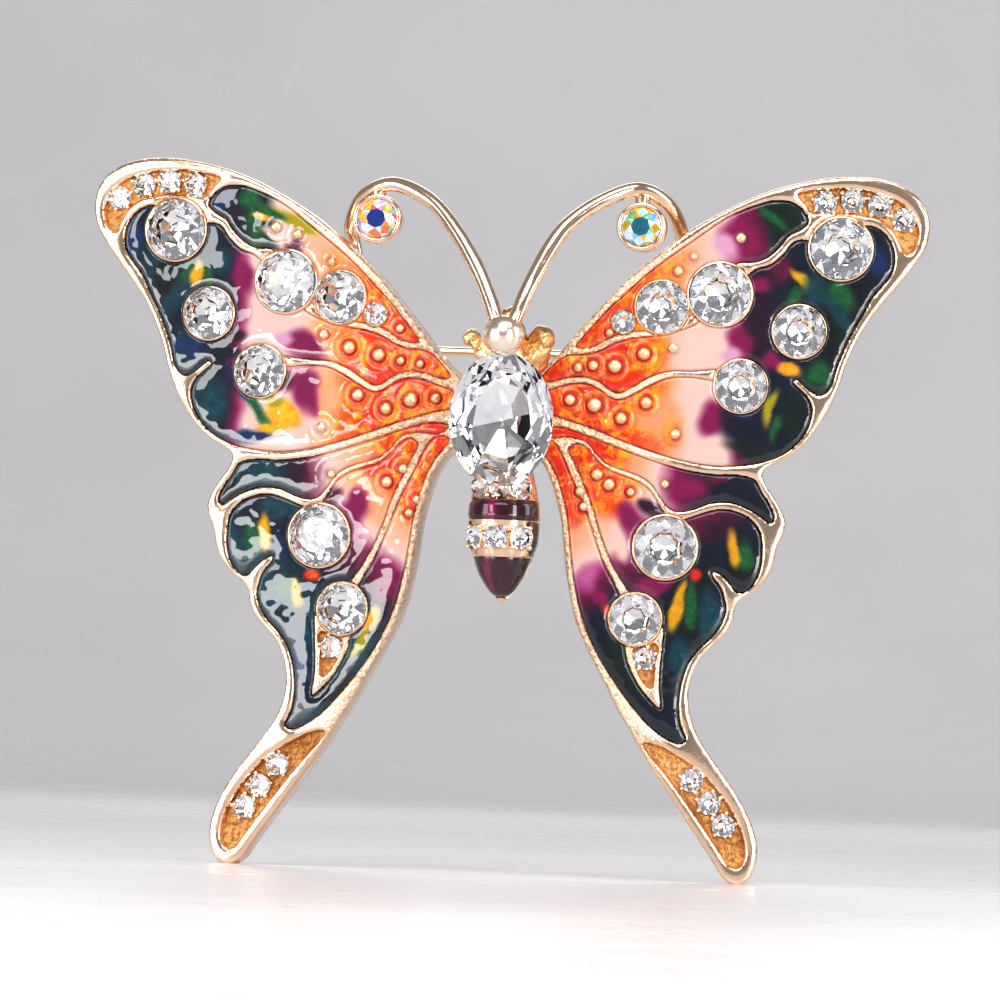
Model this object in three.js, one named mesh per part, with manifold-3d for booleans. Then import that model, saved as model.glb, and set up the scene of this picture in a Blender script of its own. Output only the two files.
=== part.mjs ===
// Butterfly brooch: two cast wings with enamel cells and set stones, a cast body with a large
// oval stone, a wire antenna piece, and a pin with a hinge and a turning safety catch.
// Millimetres. The brooch stands upright as it is worn: +Z up, the stones face -Y and
// +X is the right hand of someone looking at the front. The origin is on the pin's centre line.

import * as THREE from 'three';
import { mergeVertices } from 'three/addons/utils/BufferGeometryUtils.js';
import Module from 'manifold-3d';

// ---------- driving dimensions ----------
const WING_SWEEP = THREE.MathUtils.degToRad(8.5);
const WING_THICK = 2.2;
const RIM_ROUND = 0.22;
const CELL_DEPTH = 1.15;
const OUTLINE_POINTS = 84;
const ENAMEL_TOP = -0.1;
const FIT_GAP = 0.05;
const PAVE_DEPTH = 0.45;
const PAVE_STONE_W = -0.3;

const BODY_X = 1.15;
const BODY_BACK = -2.0;
const BODY_BASE_R = 2.5;
const OVAL_RX = 3.8;
const OVAL_RATIO = 1.29;
const OVAL_Y = -0.1;
const OVAL_GIRDLE_Z = 3.3;
const OVAL_TABLE_Z = 4.9;
const OVAL_CULET_Z = 0.5;

const ABDOMEN_Z = 0.1;
const ABDOMEN_TURN = THREE.MathUtils.degToRad(-6);
const ABDOMEN_SKIN = 0.38;
const ABDOMEN_STONE_R = 0.82;
const ABDOMEN_STONE_STEP = THREE.MathUtils.degToRad(44);

const WIRE_R = 0.46;
const GEM_R = 1.42;
const GEM_CUP_R = 1.85;

const PIN_Y = 5.3;
const PIN_Z = -6.5;
const NEEDLE_R = 0.36;
const HINGE_X = -12.5;
const CATCH_X = 12.6;
const NEEDLE_TIP_X = 15.6;
const RIVET_R = 0.4;
const KNUCKLE_R = 1.0;
const KNUCKLE_HALF = 0.8;
const EAR_THICK = 0.6;
const LOCK_INNER_R = 0.82;
const LOCK_OUTER_R = 1.2;
const CATCH_INNER_R = 1.26;
const CATCH_OUTER_R = 1.68;
const CATCH_HALF = 1.6;
const CATCH_MOUTH = THREE.MathUtils.degToRad(42);

// ---------- hand-drawn outlines of one wing, in the plane of the wing ----------
// u runs outward from the middle of the brooch, v runs up. One set serves both sides.
const WING_OUTLINE = [
  [1.0, 1.8], [1.8, 2.7], [2.7, 3.2], [3.6, 3.9], [4.7, 5.1], [5.8, 6.5], [7.5, 8.5], [8.9, 10.1],
  [10.3, 11.5], [12.2, 13.1], [14.2, 14.7], [16.9, 16.3], [19.1, 17.4], [21.2, 18.15], [23.6, 18.7],
  [25.9, 18.95], [27.9, 18.85], [29.5, 18.4], [30.7, 17.6], [31.4, 16.5], [31.6, 15.2], [31.3, 13.8],
  [30.6, 12.6], [29.4, 11.0], [28.3, 9.6], [27.3, 8.2], [26.5, 6.7], [25.8, 5.0], [25.3, 3.3],
  [24.7, 1.8], [23.9, 0.4], [22.9, -0.95], [21.7, -1.95], [20.4, -2.65], [20.0, -3.15], [20.2, -3.9],
  [20.9, -4.9], [21.5, -5.9], [21.8, -6.8], [21.6, -7.7], [21.2, -8.7], [21.0, -9.8], [20.5, -10.9],
  [19.7, -11.75], [18.8, -12.45], [18.3, -13.2], [18.2, -14.0], [17.7, -15.0], [16.8, -15.95],
  [15.9, -17.0], [15.35, -18.3], [15.15, -19.8], [15.4, -21.3], [16.0, -22.7], [16.9, -24.0],
  [17.9, -25.3], [18.85, -26.6], [19.65, -27.9], [20.25, -29.2], [20.6, -30.6], [20.5, -32.0],
  [20.0, -33.0], [19.15, -33.4], [18.25, -32.95], [17.5, -31.9], [16.6, -30.6], [15.5, -29.1],
  [14.4, -27.5], [13.15, -25.8], [12.0, -24.1], [11.0, -22.5], [10.0, -20.9], [9.15, -19.3],
  [8.25, -17.7], [7.35, -16.0], [6.65, -14.4], [6.2, -12.7], [5.85, -10.9], [5.6, -9.1],
  [5.35, -7.3], [4.95, -5.7], [4.45, -4.2], [3.8, -3.0], [3.0, -2.3], [1.8, -2.0], [1.0, -1.4],
];
// Long narrow cell under the front edge.
const CELL_FRONT = [
  [5.95, 5.65], [6.8, 5.65], [7.6, 5.95], [8.6, 6.55], [9.7, 6.9], [11.2, 7.1], [14.6, 8.6],
  [16.6, 11.9], [17.8, 12.35], [18.7, 12.4], [19.6, 12.75], [20.5, 13.55], [21.2, 14.45],
  [22.0, 14.9], [22.6, 15.5], [22.2, 16.3], [21.3, 16.85], [20.0, 16.9], [18.3, 16.35],
  [16.6, 15.5], [14.75, 14.15], [12.7, 12.6], [11.1, 11.3], [9.6, 9.85], [8.1, 8.35], [7.0, 7.05],
];
// Main cell of the front wing, with the crescent round the outer large stone.
const CELL_MAIN = [
  [2.9, 1.0], [3.1, 2.0], [4.3, 2.45], [5.6, 2.85], [6.8, 2.9], [7.7, 2.55], [8.5, 2.0],
  [9.3, 1.85], [10.4, 2.35], [11.6, 3.05], [12.9, 3.6], [14.4, 3.7], [17.0, 3.6], [17.2, 4.3],
  [14.4, 4.2], [12.7, 4.1], [11.3, 3.6], [10.1, 2.85], [9.2, 2.4], [8.6, 2.55], [7.8, 3.1],
  [6.8, 3.45], [5.5, 3.4], [4.1, 3.0], [3.4, 3.1], [4.2, 4.1], [5.2, 4.9], [6.8, 5.1], [7.7, 5.4],
  [8.8, 6.0], [9.9, 6.35], [11.4, 6.6], [14.6, 7.6], [18.4, 11.4], [19.0, 11.85], [20.0, 12.2],
  [20.9, 13.0], [21.6, 13.9], [22.2, 14.1], [25.2, 13.8], [26.4, 15.2], [27.2, 15.35],
  [28.1, 14.95], [28.8, 14.1], [29.05, 13.0], [28.85, 11.9], [28.2, 11.0], [27.5, 10.1],
  [26.9, 8.9], [26.1, 7.4], [25.5, 6.0], [25.05, 4.7], [24.75, 3.6], [24.4, 3.05], [23.9, 2.8],
  [23.1, 3.2], [22.2, 3.9], [21.9, 3.7], [22.9, 2.7], [23.35, 1.9], [23.3, 0.9], [22.9, -0.1],
  [22.2, -1.0], [21.1, -1.8], [19.8, -2.3], [18.1, -2.6], [16.3, -2.7], [14.0, -2.4],
  [11.7, -1.8], [9.4, -1.05], [7.0, -0.2], [4.6, 0.5],
];
// Strip along the top of the hind wing.
const CELL_HIND_TOP = [
  [3.4, -0.5], [5.0, -0.35], [7.1, -0.95], [9.4, -1.75], [11.7, -2.5], [14.0, -3.1], [16.3, -3.4],
  [18.3, -3.4], [19.4, -3.7], [19.9, -4.5], [20.5, -5.4], [20.9, -6.3], [20.7, -6.75],
  [20.1, -6.4], [19.2, -5.85], [17.7, -5.35], [16.2, -5.45], [14.9, -5.95], [13.8, -6.15],
  [13.1, -5.85], [12.4, -5.0], [11.8, -4.2], [10.9, -3.65], [9.6, -3.25], [8.5, -2.85],
  [7.7, -2.15], [7.0, -1.35], [5.6, -1.0], [4.2, -1.1],
];
// Big hind cell. It runs down both sides of the teardrop and in beside the inner rim.
const CELL_HIND = [
  [3.3, -1.5], [4.3, -1.3], [5.1, -2.2], [5.8, -3.7], [6.5, -5.1], [7.1, -6.4], [7.7, -8.1],
  [8.5, -10.1], [9.3, -11.5], [9.9, -12.5], [10.6, -12.6], [10.3, -11.9], [9.6, -10.9],
  [8.9, -9.6], [8.2, -7.9], [7.6, -6.1], [7.0, -4.7], [6.3, -3.2], [5.7, -1.9], [6.3, -1.5],
  [7.1, -1.9], [7.9, -2.8], [8.8, -3.4], [9.8, -3.75], [11.0, -4.2], [11.8, -4.8], [12.5, -5.9],
  [13.2, -6.6], [14.3, -6.75], [15.6, -6.3], [16.9, -5.95], [18.2, -6.1], [19.2, -6.6],
  [19.9, -7.5], [20.1, -8.8], [20.0, -10.2], [19.6, -11.2], [19.0, -11.85], [18.35, -11.85],
  [17.9, -11.3], [17.2, -10.65], [16.5, -10.45], [16.6, -10.95], [17.2, -11.7], [17.5, -12.6],
  [17.6, -13.3], [17.3, -14.3], [16.7, -15.2], [15.8, -16.1], [15.0, -17.3], [14.55, -18.7],
  [14.4, -20.4], [14.6, -21.8], [15.0, -22.9], [14.6, -23.2], [13.6, -22.8], [12.3, -21.9],
  [10.9, -20.4], [9.8, -19.0], [8.7, -17.4], [7.8, -15.8], [7.1, -14.1], [6.65, -12.4],
  [6.3, -10.6], [6.05, -8.8], [5.8, -7.0], [5.4, -5.4], [4.9, -4.0], [4.3, -2.9],
];
// Gold frame below the second hind stone, and the bare pavé floors.
const TEARDROP = [
  [10.1, -14.6], [10.25, -16.0], [10.55, -17.4], [11.25, -18.8], [12.1, -19.9], [13.1, -20.7],
  [13.0, -19.2], [13.0, -17.6], [13.1, -16.2], [13.0, -14.6],
];
const FLOOR_TEARDROP = [
  [11.0, -16.4], [11.2, -17.7], [11.9, -18.9], [12.4, -19.2], [12.6, -17.6], [12.65, -16.0],
];
const FLOOR_TIP = [
  [21.8, 17.45], [22.9, 17.8], [24.7, 18.0], [26.4, 17.95], [28.3, 17.6], [29.8, 16.85],
  [30.55, 15.9], [30.75, 14.9], [30.4, 13.7], [29.9, 13.4], [29.45, 14.1], [28.85, 15.1],
  [27.9, 15.85], [26.4, 16.15], [25.1, 16.2], [23.7, 16.15], [22.8, 16.2], [22.3, 16.9],
];
const FLOOR_TAIL = [
  [12.0, -23.3], [13.1, -23.45], [14.6, -24.2], [16.0, -25.1], [17.3, -26.3], [18.4, -27.7],
  [19.15, -29.0], [19.6, -30.35], [19.65, -31.4], [19.25, -32.1], [18.6, -32.0], [17.85, -31.0],
  [16.85, -29.6], [15.65, -28.0], [14.35, -26.3], [13.1, -24.8], [12.35, -24.0],
];
// name, u, v, stone radius, collar width (none for stones set in a pavé floor), seat depth, facets
const WING_STONES = [
  ['stone_tip_large', 25.1, 13.6, 2.2, 0.24, 1.7, 8], ['stone_mid_large', 16.35, 9.9, 2.22, 0.24, 1.7, 8],
  ['stone_inner_mid', 12.1, 8.8, 1.84, 0.22, 1.5, 8], ['stone_outer_mid', 22.25, 7.4, 1.84, 0.22, 1.5, 8],
  ['stone_vein_mid', 18.1, 3.2, 1.84, 0.22, 1.5, 8], ['stone_inner_small', 9.3, 7.6, 0.78, 0.16, 0.9, 6],
  ['stone_hind_large', 13.0, -8.85, 2.22, 0.24, 1.7, 8], ['stone_hind_mid', 11.0, -14.2, 1.8, 0.22, 1.5, 8],
  ['stone_teardrop', 11.8, -17.05, 0.76, 0, 0.9, 6],
  ['stone_tail_1', 15.6, -25.85, 0.8, 0, 0.9, 6], ['stone_tail_2', 16.95, -27.45, 0.8, 0, 0.9, 6],
  ['stone_tail_3', 18.05, -29.05, 0.8, 0, 0.9, 6],
  ['stone_row_1', 29.7, 15.95, 0.82, 0, 0.9, 6], ['stone_row_2', 27.85, 16.95, 0.82, 0, 0.9, 6],
  ['stone_row_3', 25.85, 17.2, 0.82, 0, 0.9, 6], ['stone_row_4', 23.85, 17.0, 0.82, 0, 0.9, 6],
];
// Distance down the abdomen against its radius.
const ABDOMEN_PROFILE = [
  [-3.3, 1.9], [-5.0, 2.35], [-6.3, 2.58], [-7.5, 2.64], [-9.0, 2.5], [-10.2, 2.16],
  [-11.5, 1.62], [-12.6, 0.92], [-13.35, 0.12],
];
// Centre lines of the two antenna wires, from the ball on the head to the end behind the wing.
const WIRE_LEFT = [
  [1.1, 5.8, 6.0], [0.5, 7.6, 5.5], [-1.0, 10.7, 4.1], [-3.0, 13.7, 2.5], [-5.1, 15.9, 1.1],
  [-8.0, 17.15, -0.4], [-10.4, 16.4, -1.9], [-11.6, 14.5, -3.9], [-11.6, 13.3, -4.75],
  [-11.3, 12.2, -4.85],
];
const WIRE_RIGHT = [
  [1.7, 5.8, 6.0], [2.3, 7.7, 5.5], [3.1, 10.1, 4.2], [4.2, 12.6, 3.0], [5.4, 14.5, 1.9],
  [7.6, 16.3, 0.5], [10.1, 17.3, -0.8], [12.0, 16.4, -2.6], [12.9, 14.4, -4.7],
  [12.8, 13.0, -5.0],
];
const GEM_LEFT = [-9.25, 14.6, -0.5];
const GEM_RIGHT = [10.35, 14.55, -0.5];

// ---------- solids: three.js makes the shapes, manifold-3d only joins and cuts ----------
const wasm = await Module();
wasm.setup();

function solid(geometry) {
  const bare = geometry.clone();
  for (const key of Object.keys(bare.attributes)) {
    if (key !== 'position') bare.deleteAttribute(key);
  }
  const merged = mergeVertices(bare, 1e-4);
  const index = merged.index.array;
  const tris = [];
  for (let i = 0; i < index.length; i += 3) {
    const [a, b, c] = [index[i], index[i + 1], index[i + 2]];
    if (a !== b && b !== c && c !== a) tris.push(a, b, c);
  }
  return new wasm.Manifold(new wasm.Mesh({
    numProp: 3,
    vertProperties: Float32Array.from(merged.attributes.position.array),
    triVerts: Uint32Array.from(tris),
  }));
}

function largestPiece(body) {
  const pieces = body.decompose();
  pieces.sort((a, b) => b.volume() - a.volume());
  return pieces[0];
}

function toGeometry(body) {
  const mesh = largestPiece(body).getMesh();
  const geometry = new THREE.BufferGeometry();
  geometry.setAttribute('position', new THREE.BufferAttribute(Float32Array.from(mesh.vertProperties), 3));
  geometry.setIndex(Array.from(mesh.triVerts));
  return geometry;
}

function smoothLoop(points, count, side = 1) {
  const corners = points.map(([u, v]) => new THREE.Vector3(u * side, v, 0));
  const curve = new THREE.CatmullRomCurve3(corners, true, 'centripetal');
  const loop = curve.getSpacedPoints(count).slice(0, -1);
  return loop.map((p) => new THREE.Vector2(p.x, p.y));
}

// Moves each point of a loop along its inward normal.
function shrink(loop, inset) {
  const area = THREE.ShapeUtils.area(loop);
  const turn = Math.sign(area) * inset;
  return loop.map((p, i) => {
    const ahead = loop[(i + 1) % loop.length];
    const behind = loop.at(i - 1);
    const along = ahead.clone().sub(behind).normalize();
    return new THREE.Vector2(p.x - along.y * turn, p.y + along.x * turn);
  });
}

function prism(outline, from, to, inset = 0, round = 0) {
  const loop = inset === 0 ? outline : shrink(outline, inset);
  const geometry = new THREE.ExtrudeGeometry(new THREE.Shape(loop), {
    depth: to - from - 2 * round,
    steps: 1,
    bevelEnabled: round > 0,
    bevelThickness: round,
    bevelSize: round,
    bevelOffset: -round,
    bevelSegments: 1,
  });
  geometry.translate(0, 0, from + round);
  return geometry;
}

// A disc or cone about the z axis, from its profile of [radius, z] pairs.
function turned(profile, sides) {
  const points = profile.map(([r, z]) => new THREE.Vector2(r, z));
  const geometry = new THREE.LatheGeometry(points, sides);
  geometry.rotateX(Math.PI / 2);
  return geometry;
}

function disc(radius, from, to, sides) {
  return turned([[0, from], [radius, from], [radius, to], [0, to]], sides);
}

function outside(radius, sides) {
  return radius / Math.cos(Math.PI / sides);
}

function stoneShape(radius, depth, crown, sides) {
  const girdle = 0.07 * radius;
  return turned([
    [0, -depth], [radius, -girdle], [radius, girdle], [radius * 0.62, crown], [0, crown],
  ], sides);
}

function seatShape(radius, depth, sides) {
  const wide = radius + FIT_GAP;
  return turned([
    [0, -depth - 1.6 * FIT_GAP], [wide, -0.07 * radius - FIT_GAP], [wide, 2.0], [0, 2.0],
  ], sides);
}

function place(geometry, matrix) {
  const moved = geometry.clone();
  moved.applyMatrix4(matrix);
  return moved;
}

// A round bar between two points.
function bar(from, to, fromR, toR, sides = 10) {
  const a = new THREE.Vector3(...from);
  const b = new THREE.Vector3(...to);
  const along = b.clone().sub(a);
  const geometry = new THREE.CylinderGeometry(toR, fromR, along.length(), sides);
  const turn = new THREE.Quaternion().setFromUnitVectors(new THREE.Vector3(0, 1, 0), along.clone().normalize());
  geometry.applyQuaternion(turn);
  const mid = a.add(b).multiplyScalar(0.5);
  geometry.translate(mid.x, mid.y, mid.z);
  return geometry;
}

function ball(centre, radius, wide = 10, high = 7) {
  const geometry = new THREE.SphereGeometry(radius, wide, high);
  geometry.translate(...centre);
  return geometry;
}

function block(centre, size) {
  const geometry = new THREE.BoxGeometry(...size);
  geometry.translate(...centre);
  return geometry;
}

function unite(list) {
  return list.map(solid).reduce((whole, part) => whole.add(part));
}

// ---------- materials ----------
const rosegold = new THREE.MeshStandardMaterial({ color: 0xd9a878, metalness: 1, roughness: 0.22 });
const pinSteel = new THREE.MeshStandardMaterial({ color: 0xcfa57c, metalness: 1, roughness: 0.3 });
const crystal = new THREE.MeshStandardMaterial({ color: 0xf4f6f8, metalness: 0.1, roughness: 0.03 });
const aurora = new THREE.MeshStandardMaterial({ color: 0x7fc4d2, metalness: 0.2, roughness: 0.05 });
const enamelWarm = new THREE.MeshStandardMaterial({ color: 0xf0672a, metalness: 0.1, roughness: 0.12 });
const enamelDark = new THREE.MeshStandardMaterial({ color: 0x17404e, metalness: 0.1, roughness: 0.12 });
const enamelPlum = new THREE.MeshStandardMaterial({ color: 0x6e1040, metalness: 0.1, roughness: 0.1 });

const brooch = new THREE.Group();
brooch.rotation.x = Math.PI / 2;
brooch.position.set(0, PIN_Z, -PIN_Y);

function addPart(name, body, material) {
  const mesh = new THREE.Mesh(toGeometry(body), material);
  mesh.name = name;
  brooch.add(mesh);
}

// ---------- body ----------
const bodyShift = new THREE.Matrix4().makeTranslation(BODY_X, 0, 0);
const ovalScale = new THREE.Matrix4().makeScale(1, OVAL_RATIO, 1);
ovalScale.premultiply(new THREE.Matrix4().makeTranslation(BODY_X - 0.1, OVAL_Y, 0));

function abdomenShape(change, sides = 18) {
  const points = ABDOMEN_PROFILE.map(([y, r]) => new THREE.Vector2(Math.max(r + change, 0.03), y));
  points.unshift(new THREE.Vector2(0, ABDOMEN_PROFILE[0][0]));
  points.push(new THREE.Vector2(0, ABDOMEN_PROFILE.at(-1)[0] - 0.02));
  const geometry = new THREE.LatheGeometry(points.reverse(), sides);
  geometry.rotateY(ABDOMEN_TURN);
  geometry.translate(BODY_X, 0, ABDOMEN_Z);
  return geometry;
}

function abdomenBox(x0, x1, y0, y1, z0, z1) {
  const geometry = block([(x0 + x1) / 2, (y0 + y1) / 2, (z0 + z1) / 2], [x1 - x0, y1 - y0, z1 - z0]);
  geometry.rotateY(ABDOMEN_TURN);
  geometry.translate(BODY_X, 0, ABDOMEN_Z);
  return solid(geometry);
}

// The room that the plum enamel fills, grown by a gap on every side: the front of the
// abdomen below the upper row, less the framed row across the middle.
function enamelRoom(grow) {
  const all = abdomenBox(-4, 4, -12.95 - grow, -5.95 + grow, -0.7 - grow, 5);
  return all.subtract(abdomenBox(-2.15 + grow, 2.15 - grow, -9.95 + grow, -7.4 - grow, 0, 6));
}

function abdomenStones() {
  const stones = [];
  for (const [row, y, radius] of [['upper', -5.0, 2.35], ['lower', -8.65, 2.55]]) {
    [-1, 0, 1].forEach((step, i) => {
      const angle = ABDOMEN_TURN + step * ABDOMEN_STONE_STEP;
      const matrix = new THREE.Matrix4().makeRotationY(angle);
      matrix.setPosition(BODY_X + radius * Math.sin(angle), y, ABDOMEN_Z + radius * Math.cos(angle));
      stones.push([`stone_abdomen_${row}_${i + 1}`, matrix]);
    });
  }
  return stones;
}

const crownParts = [
  bar([BODY_X, 3.0, -0.3], [BODY_X, 7.5, 0.3], 2.0, 0.75, 12),
  ball([BODY_X, 7.6, 0.3], 0.78),
  bar([BODY_X - 0.9, 3.9, -0.2], [BODY_X - 2.8, 5.9, 0.4], 0.9, 0.6),
  ball([BODY_X - 2.85, 5.95, 0.4], 0.68),
  bar([BODY_X + 0.9, 3.6, -0.2], [BODY_X + 2.3, 6.0, 0.4], 1.2, 0.9),
  ball([BODY_X + 2.35, 6.1, 0.4], 0.98),
];
const basket = place(turned([
  [0, -3.0], [BODY_BASE_R, -3.0], [BODY_BASE_R, 0.4], [3.4, 2.7], [0, 2.7],
], 20), ovalScale);
const ovalSeat = place(turned([
  [0, OVAL_CULET_Z - 0.1], [OVAL_RX + FIT_GAP, OVAL_GIRDLE_Z - 0.06], [OVAL_RX + FIT_GAP, 4.5], [0, 4.5],
], 20), ovalScale);
const waist = place(bar([0, -3.0, 0], [0, -4.6, 0], 1.9, 2.2, 16), bodyShift);
let body = unite([basket, waist, abdomenShape(0), ...crownParts]);
body = body.subtract(enamelRoom(FIT_GAP).intersect(solid(abdomenShape(2))).subtract(solid(abdomenShape(-ABDOMEN_SKIN))));
body = body.subtract(solid(ovalSeat));
body = body.subtract(solid(block([BODY_X, -2, BODY_BACK - 5], [16, 30, 10])));
for (const [, matrix] of abdomenStones()) {
  body = body.subtract(solid(place(seatShape(ABDOMEN_STONE_R, 0.75, 6), matrix)));
}
addPart('body_casting', body, rosegold);

const enamelSkin = enamelRoom(0).intersect(solid(abdomenShape(-0.03)));
addPart('abdomen_enamel', enamelSkin.subtract(solid(abdomenShape(-ABDOMEN_SKIN + FIT_GAP))), enamelPlum);
for (const [name, matrix] of abdomenStones()) {
  addPart(name, solid(place(stoneShape(ABDOMEN_STONE_R, 0.75, 0.36, 6), matrix)), crystal);
}

const ovalStone = place(turned([
  [0, OVAL_CULET_Z], [OVAL_RX, OVAL_GIRDLE_Z], [OVAL_RX, OVAL_GIRDLE_Z + 0.16],
  [OVAL_RX * 0.84, OVAL_GIRDLE_Z + 0.9], [OVAL_RX * 0.6, OVAL_TABLE_Z], [0, OVAL_TABLE_Z],
], 16), ovalScale);
addPart('oval_stone', solid(ovalStone), crystal);

// ---------- wings ----------
function wingMatrix(side) {
  return new THREE.Matrix4().makeRotationY(side * WING_SWEEP);
}

const bodyRoom = unite([
  place(turned([
    [0, -6.0], [BODY_BASE_R + 2 * FIT_GAP, -6.0], [BODY_BASE_R + 2 * FIT_GAP, 3.0], [0, 3.0],
  ], 20), ovalScale),
  place(bar([0, -2.6, 0], [0, -4.8, 0], 2.3, 2.5, 16), bodyShift),
  bar([BODY_X, 3.0, -0.5], [BODY_X, 7.5, 0.3], 2.3, 0.9, 12),
  bar([BODY_X - 0.9, 3.9, -0.2], [BODY_X - 2.8, 5.9, 0.4], 1.05, 0.72),
  bar([BODY_X + 0.9, 3.6, -0.2], [BODY_X + 2.3, 6.0, 0.4], 1.35, 1.0),
]);

function addWing(label, side) {
  const matrix = wingMatrix(side);
  const loop = (points, count) => smoothLoop(points, count, side);
  const at = (geometry) => solid(place(geometry, matrix));
  const cells = [['front', CELL_FRONT, 32], ['main', CELL_MAIN, 76], ['hind_top', CELL_HIND_TOP, 32], ['hind', CELL_HIND, 80]];
  const spot = (u, v, collar) => {
    return new THREE.Matrix4().makeTranslation(side * u, v, collar > 0 ? 0 : PAVE_STONE_W);
  };
  const collared = WING_STONES.filter(([, , , , collar]) => collar > 0);
  const collars = (grow) => collared.map(([, u, v, r, collar, , sides]) => {
    const around = sides + 4;
    const top = grow ? 1.0 : 0.05 + 0.06 * r;
    const cup = disc(outside(r + collar + grow, around), -CELL_DEPTH - 0.1, top, around);
    return at(place(cup, spot(u, v, collar)));
  }).reduce((whole, part) => whole.add(part));

  let wing = at(prism(loop(WING_OUTLINE, OUTLINE_POINTS), -WING_THICK, 0, 0, RIM_ROUND));
  for (const [, points, count] of cells) {
    wing = wing.subtract(at(prism(loop(points, count), -CELL_DEPTH, 1)));
  }
  wing = wing.add(at(prism(loop(TEARDROP, 16), -CELL_DEPTH - 0.1, 0.02)));
  for (const [points, count] of [[FLOOR_TIP, 22], [FLOOR_TAIL, 22], [FLOOR_TEARDROP, 10]]) {
    wing = wing.subtract(at(prism(loop(points, count), -PAVE_DEPTH, 1)));
  }
  wing = wing.add(collars(0));
  for (const [, u, v, r, collar, depth, sides] of WING_STONES) {
    wing = wing.subtract(at(place(seatShape(r, depth, sides), spot(u, v, collar))));
  }
  wing = wing.subtract(bodyRoom);
  addPart(`${label}_wing`, wing, rosegold);

  const standing = collars(FIT_GAP);
  const frame = at(prism(loop(TEARDROP, 16), -CELL_DEPTH, 0.5, -FIT_GAP));
  for (const [cell, points, count] of cells) {
    let enamel = at(prism(loop(points, count), -CELL_DEPTH + FIT_GAP, ENAMEL_TOP, FIT_GAP));
    enamel = enamel.subtract(standing).subtract(bodyRoom);
    if (cell === 'hind') enamel = enamel.subtract(frame);
    const material = cell === 'hind' ? enamelDark : enamelWarm;
    addPart(`${label}_enamel_${cell}`, enamel, material);
  }
  for (const [name, u, v, r, collar, depth, sides] of WING_STONES) {
    const stone = stoneShape(r, depth, 0.36 * r + 0.1, sides);
    addPart(`${label}_${name}`, at(place(stone, spot(u, v, collar))), crystal);
  }
}
addWing('left', -1);
addWing('right', 1);

// ---------- antenna piece ----------
function wire(points) {
  const path = new THREE.CatmullRomCurve3(points.map((p) => new THREE.Vector3(...p)));
  const section = new THREE.Shape();
  section.absarc(0, 0, WIRE_R, 0, 2 * Math.PI);
  return new THREE.ExtrudeGeometry(section, { extrudePath: path, steps: 22, curveSegments: 4, bevelEnabled: false });
}

function gemAt([x, y, z]) {
  return new THREE.Matrix4().makeTranslation(x, y, z);
}

let antennae = unite([
  wire(WIRE_LEFT), wire(WIRE_RIGHT),
  ball([BODY_X + 0.25, 5.95, 6.0], 1.32, 12, 8),
  bar([BODY_X + 0.2, 6.45, 2.1], [BODY_X + 0.25, 6.2, 6.0], 0.75, 0.95, 12),
  place(disc(GEM_CUP_R, -1.7, 0.12, 16), gemAt(GEM_LEFT)),
  place(disc(GEM_CUP_R, -1.7, 0.12, 16), gemAt(GEM_RIGHT)),
  bar([-9.3, 15.6, -1.2], [-9.3, 16.9, -1.2], 0.5, 0.5, 8),
  bar([10.2, 15.6, -1.2], [10.3, 17.1, -1.1], 0.5, 0.5, 8),
]);
for (const gem of [GEM_LEFT, GEM_RIGHT]) {
  antennae = antennae.subtract(solid(place(seatShape(GEM_R, 1.2, 8), gemAt(gem))));
}
addPart('antennae', antennae, rosegold);
addPart('left_antenna_stone', solid(place(stoneShape(GEM_R, 1.2, 0.6, 8), gemAt(GEM_LEFT))), aurora);
addPart('right_antenna_stone', solid(place(stoneShape(GEM_R, 1.2, 0.6, 8), gemAt(GEM_RIGHT))), aurora);

// ---------- pin, hinge and catch on the backs of the wings ----------
function onWingBack(geometry, side) {
  geometry.translate(0, 0, -WING_THICK - FIT_GAP);
  return place(geometry, wingMatrix(side));
}

function alongX(geometry, centre) {
  geometry.rotateY(Math.PI / 2);
  geometry.translate(...centre);
  return geometry;
}

function alongY(geometry, centre) {
  geometry.rotateX(-Math.PI / 2);
  geometry.translate(...centre);
  return geometry;
}

const hingeParts = [onWingBack(block([HINGE_X * 1.01, PIN_Y, -0.45], [4.2, 4.6, 0.9]), -1)];
for (const side of [-1, 1]) {
  const y = PIN_Y + side * (KNUCKLE_HALF + 0.06 + EAR_THICK / 2);
  hingeParts.push(block([HINGE_X, y, (PIN_Z - 4.6) / 2], [2.2, EAR_THICK, -4.6 - PIN_Z]));
  hingeParts.push(alongY(disc(1.1, -EAR_THICK / 2, EAR_THICK / 2, 16), [HINGE_X, y, PIN_Z]));
}
let hinge = unite(hingeParts);
hinge = hinge.subtract(solid(alongY(disc(outside(RIVET_R + FIT_GAP, 16), -3, 3, 16), [HINGE_X, PIN_Y, PIN_Z])));
addPart('pin_hinge', hinge, rosegold);

const rivetEnd = KNUCKLE_HALF + 0.06 + EAR_THICK + FIT_GAP;
addPart('hinge_rivet', solid(alongY(turned([
  [0, -rivetEnd - 0.25], [0.66, -rivetEnd - 0.25], [0.66, -rivetEnd], [RIVET_R, -rivetEnd],
  [RIVET_R, rivetEnd], [0.66, rivetEnd], [0.66, rivetEnd + 0.25], [0, rivetEnd + 0.25],
], 16), [HINGE_X, PIN_Y, PIN_Z])), pinSteel);

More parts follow.
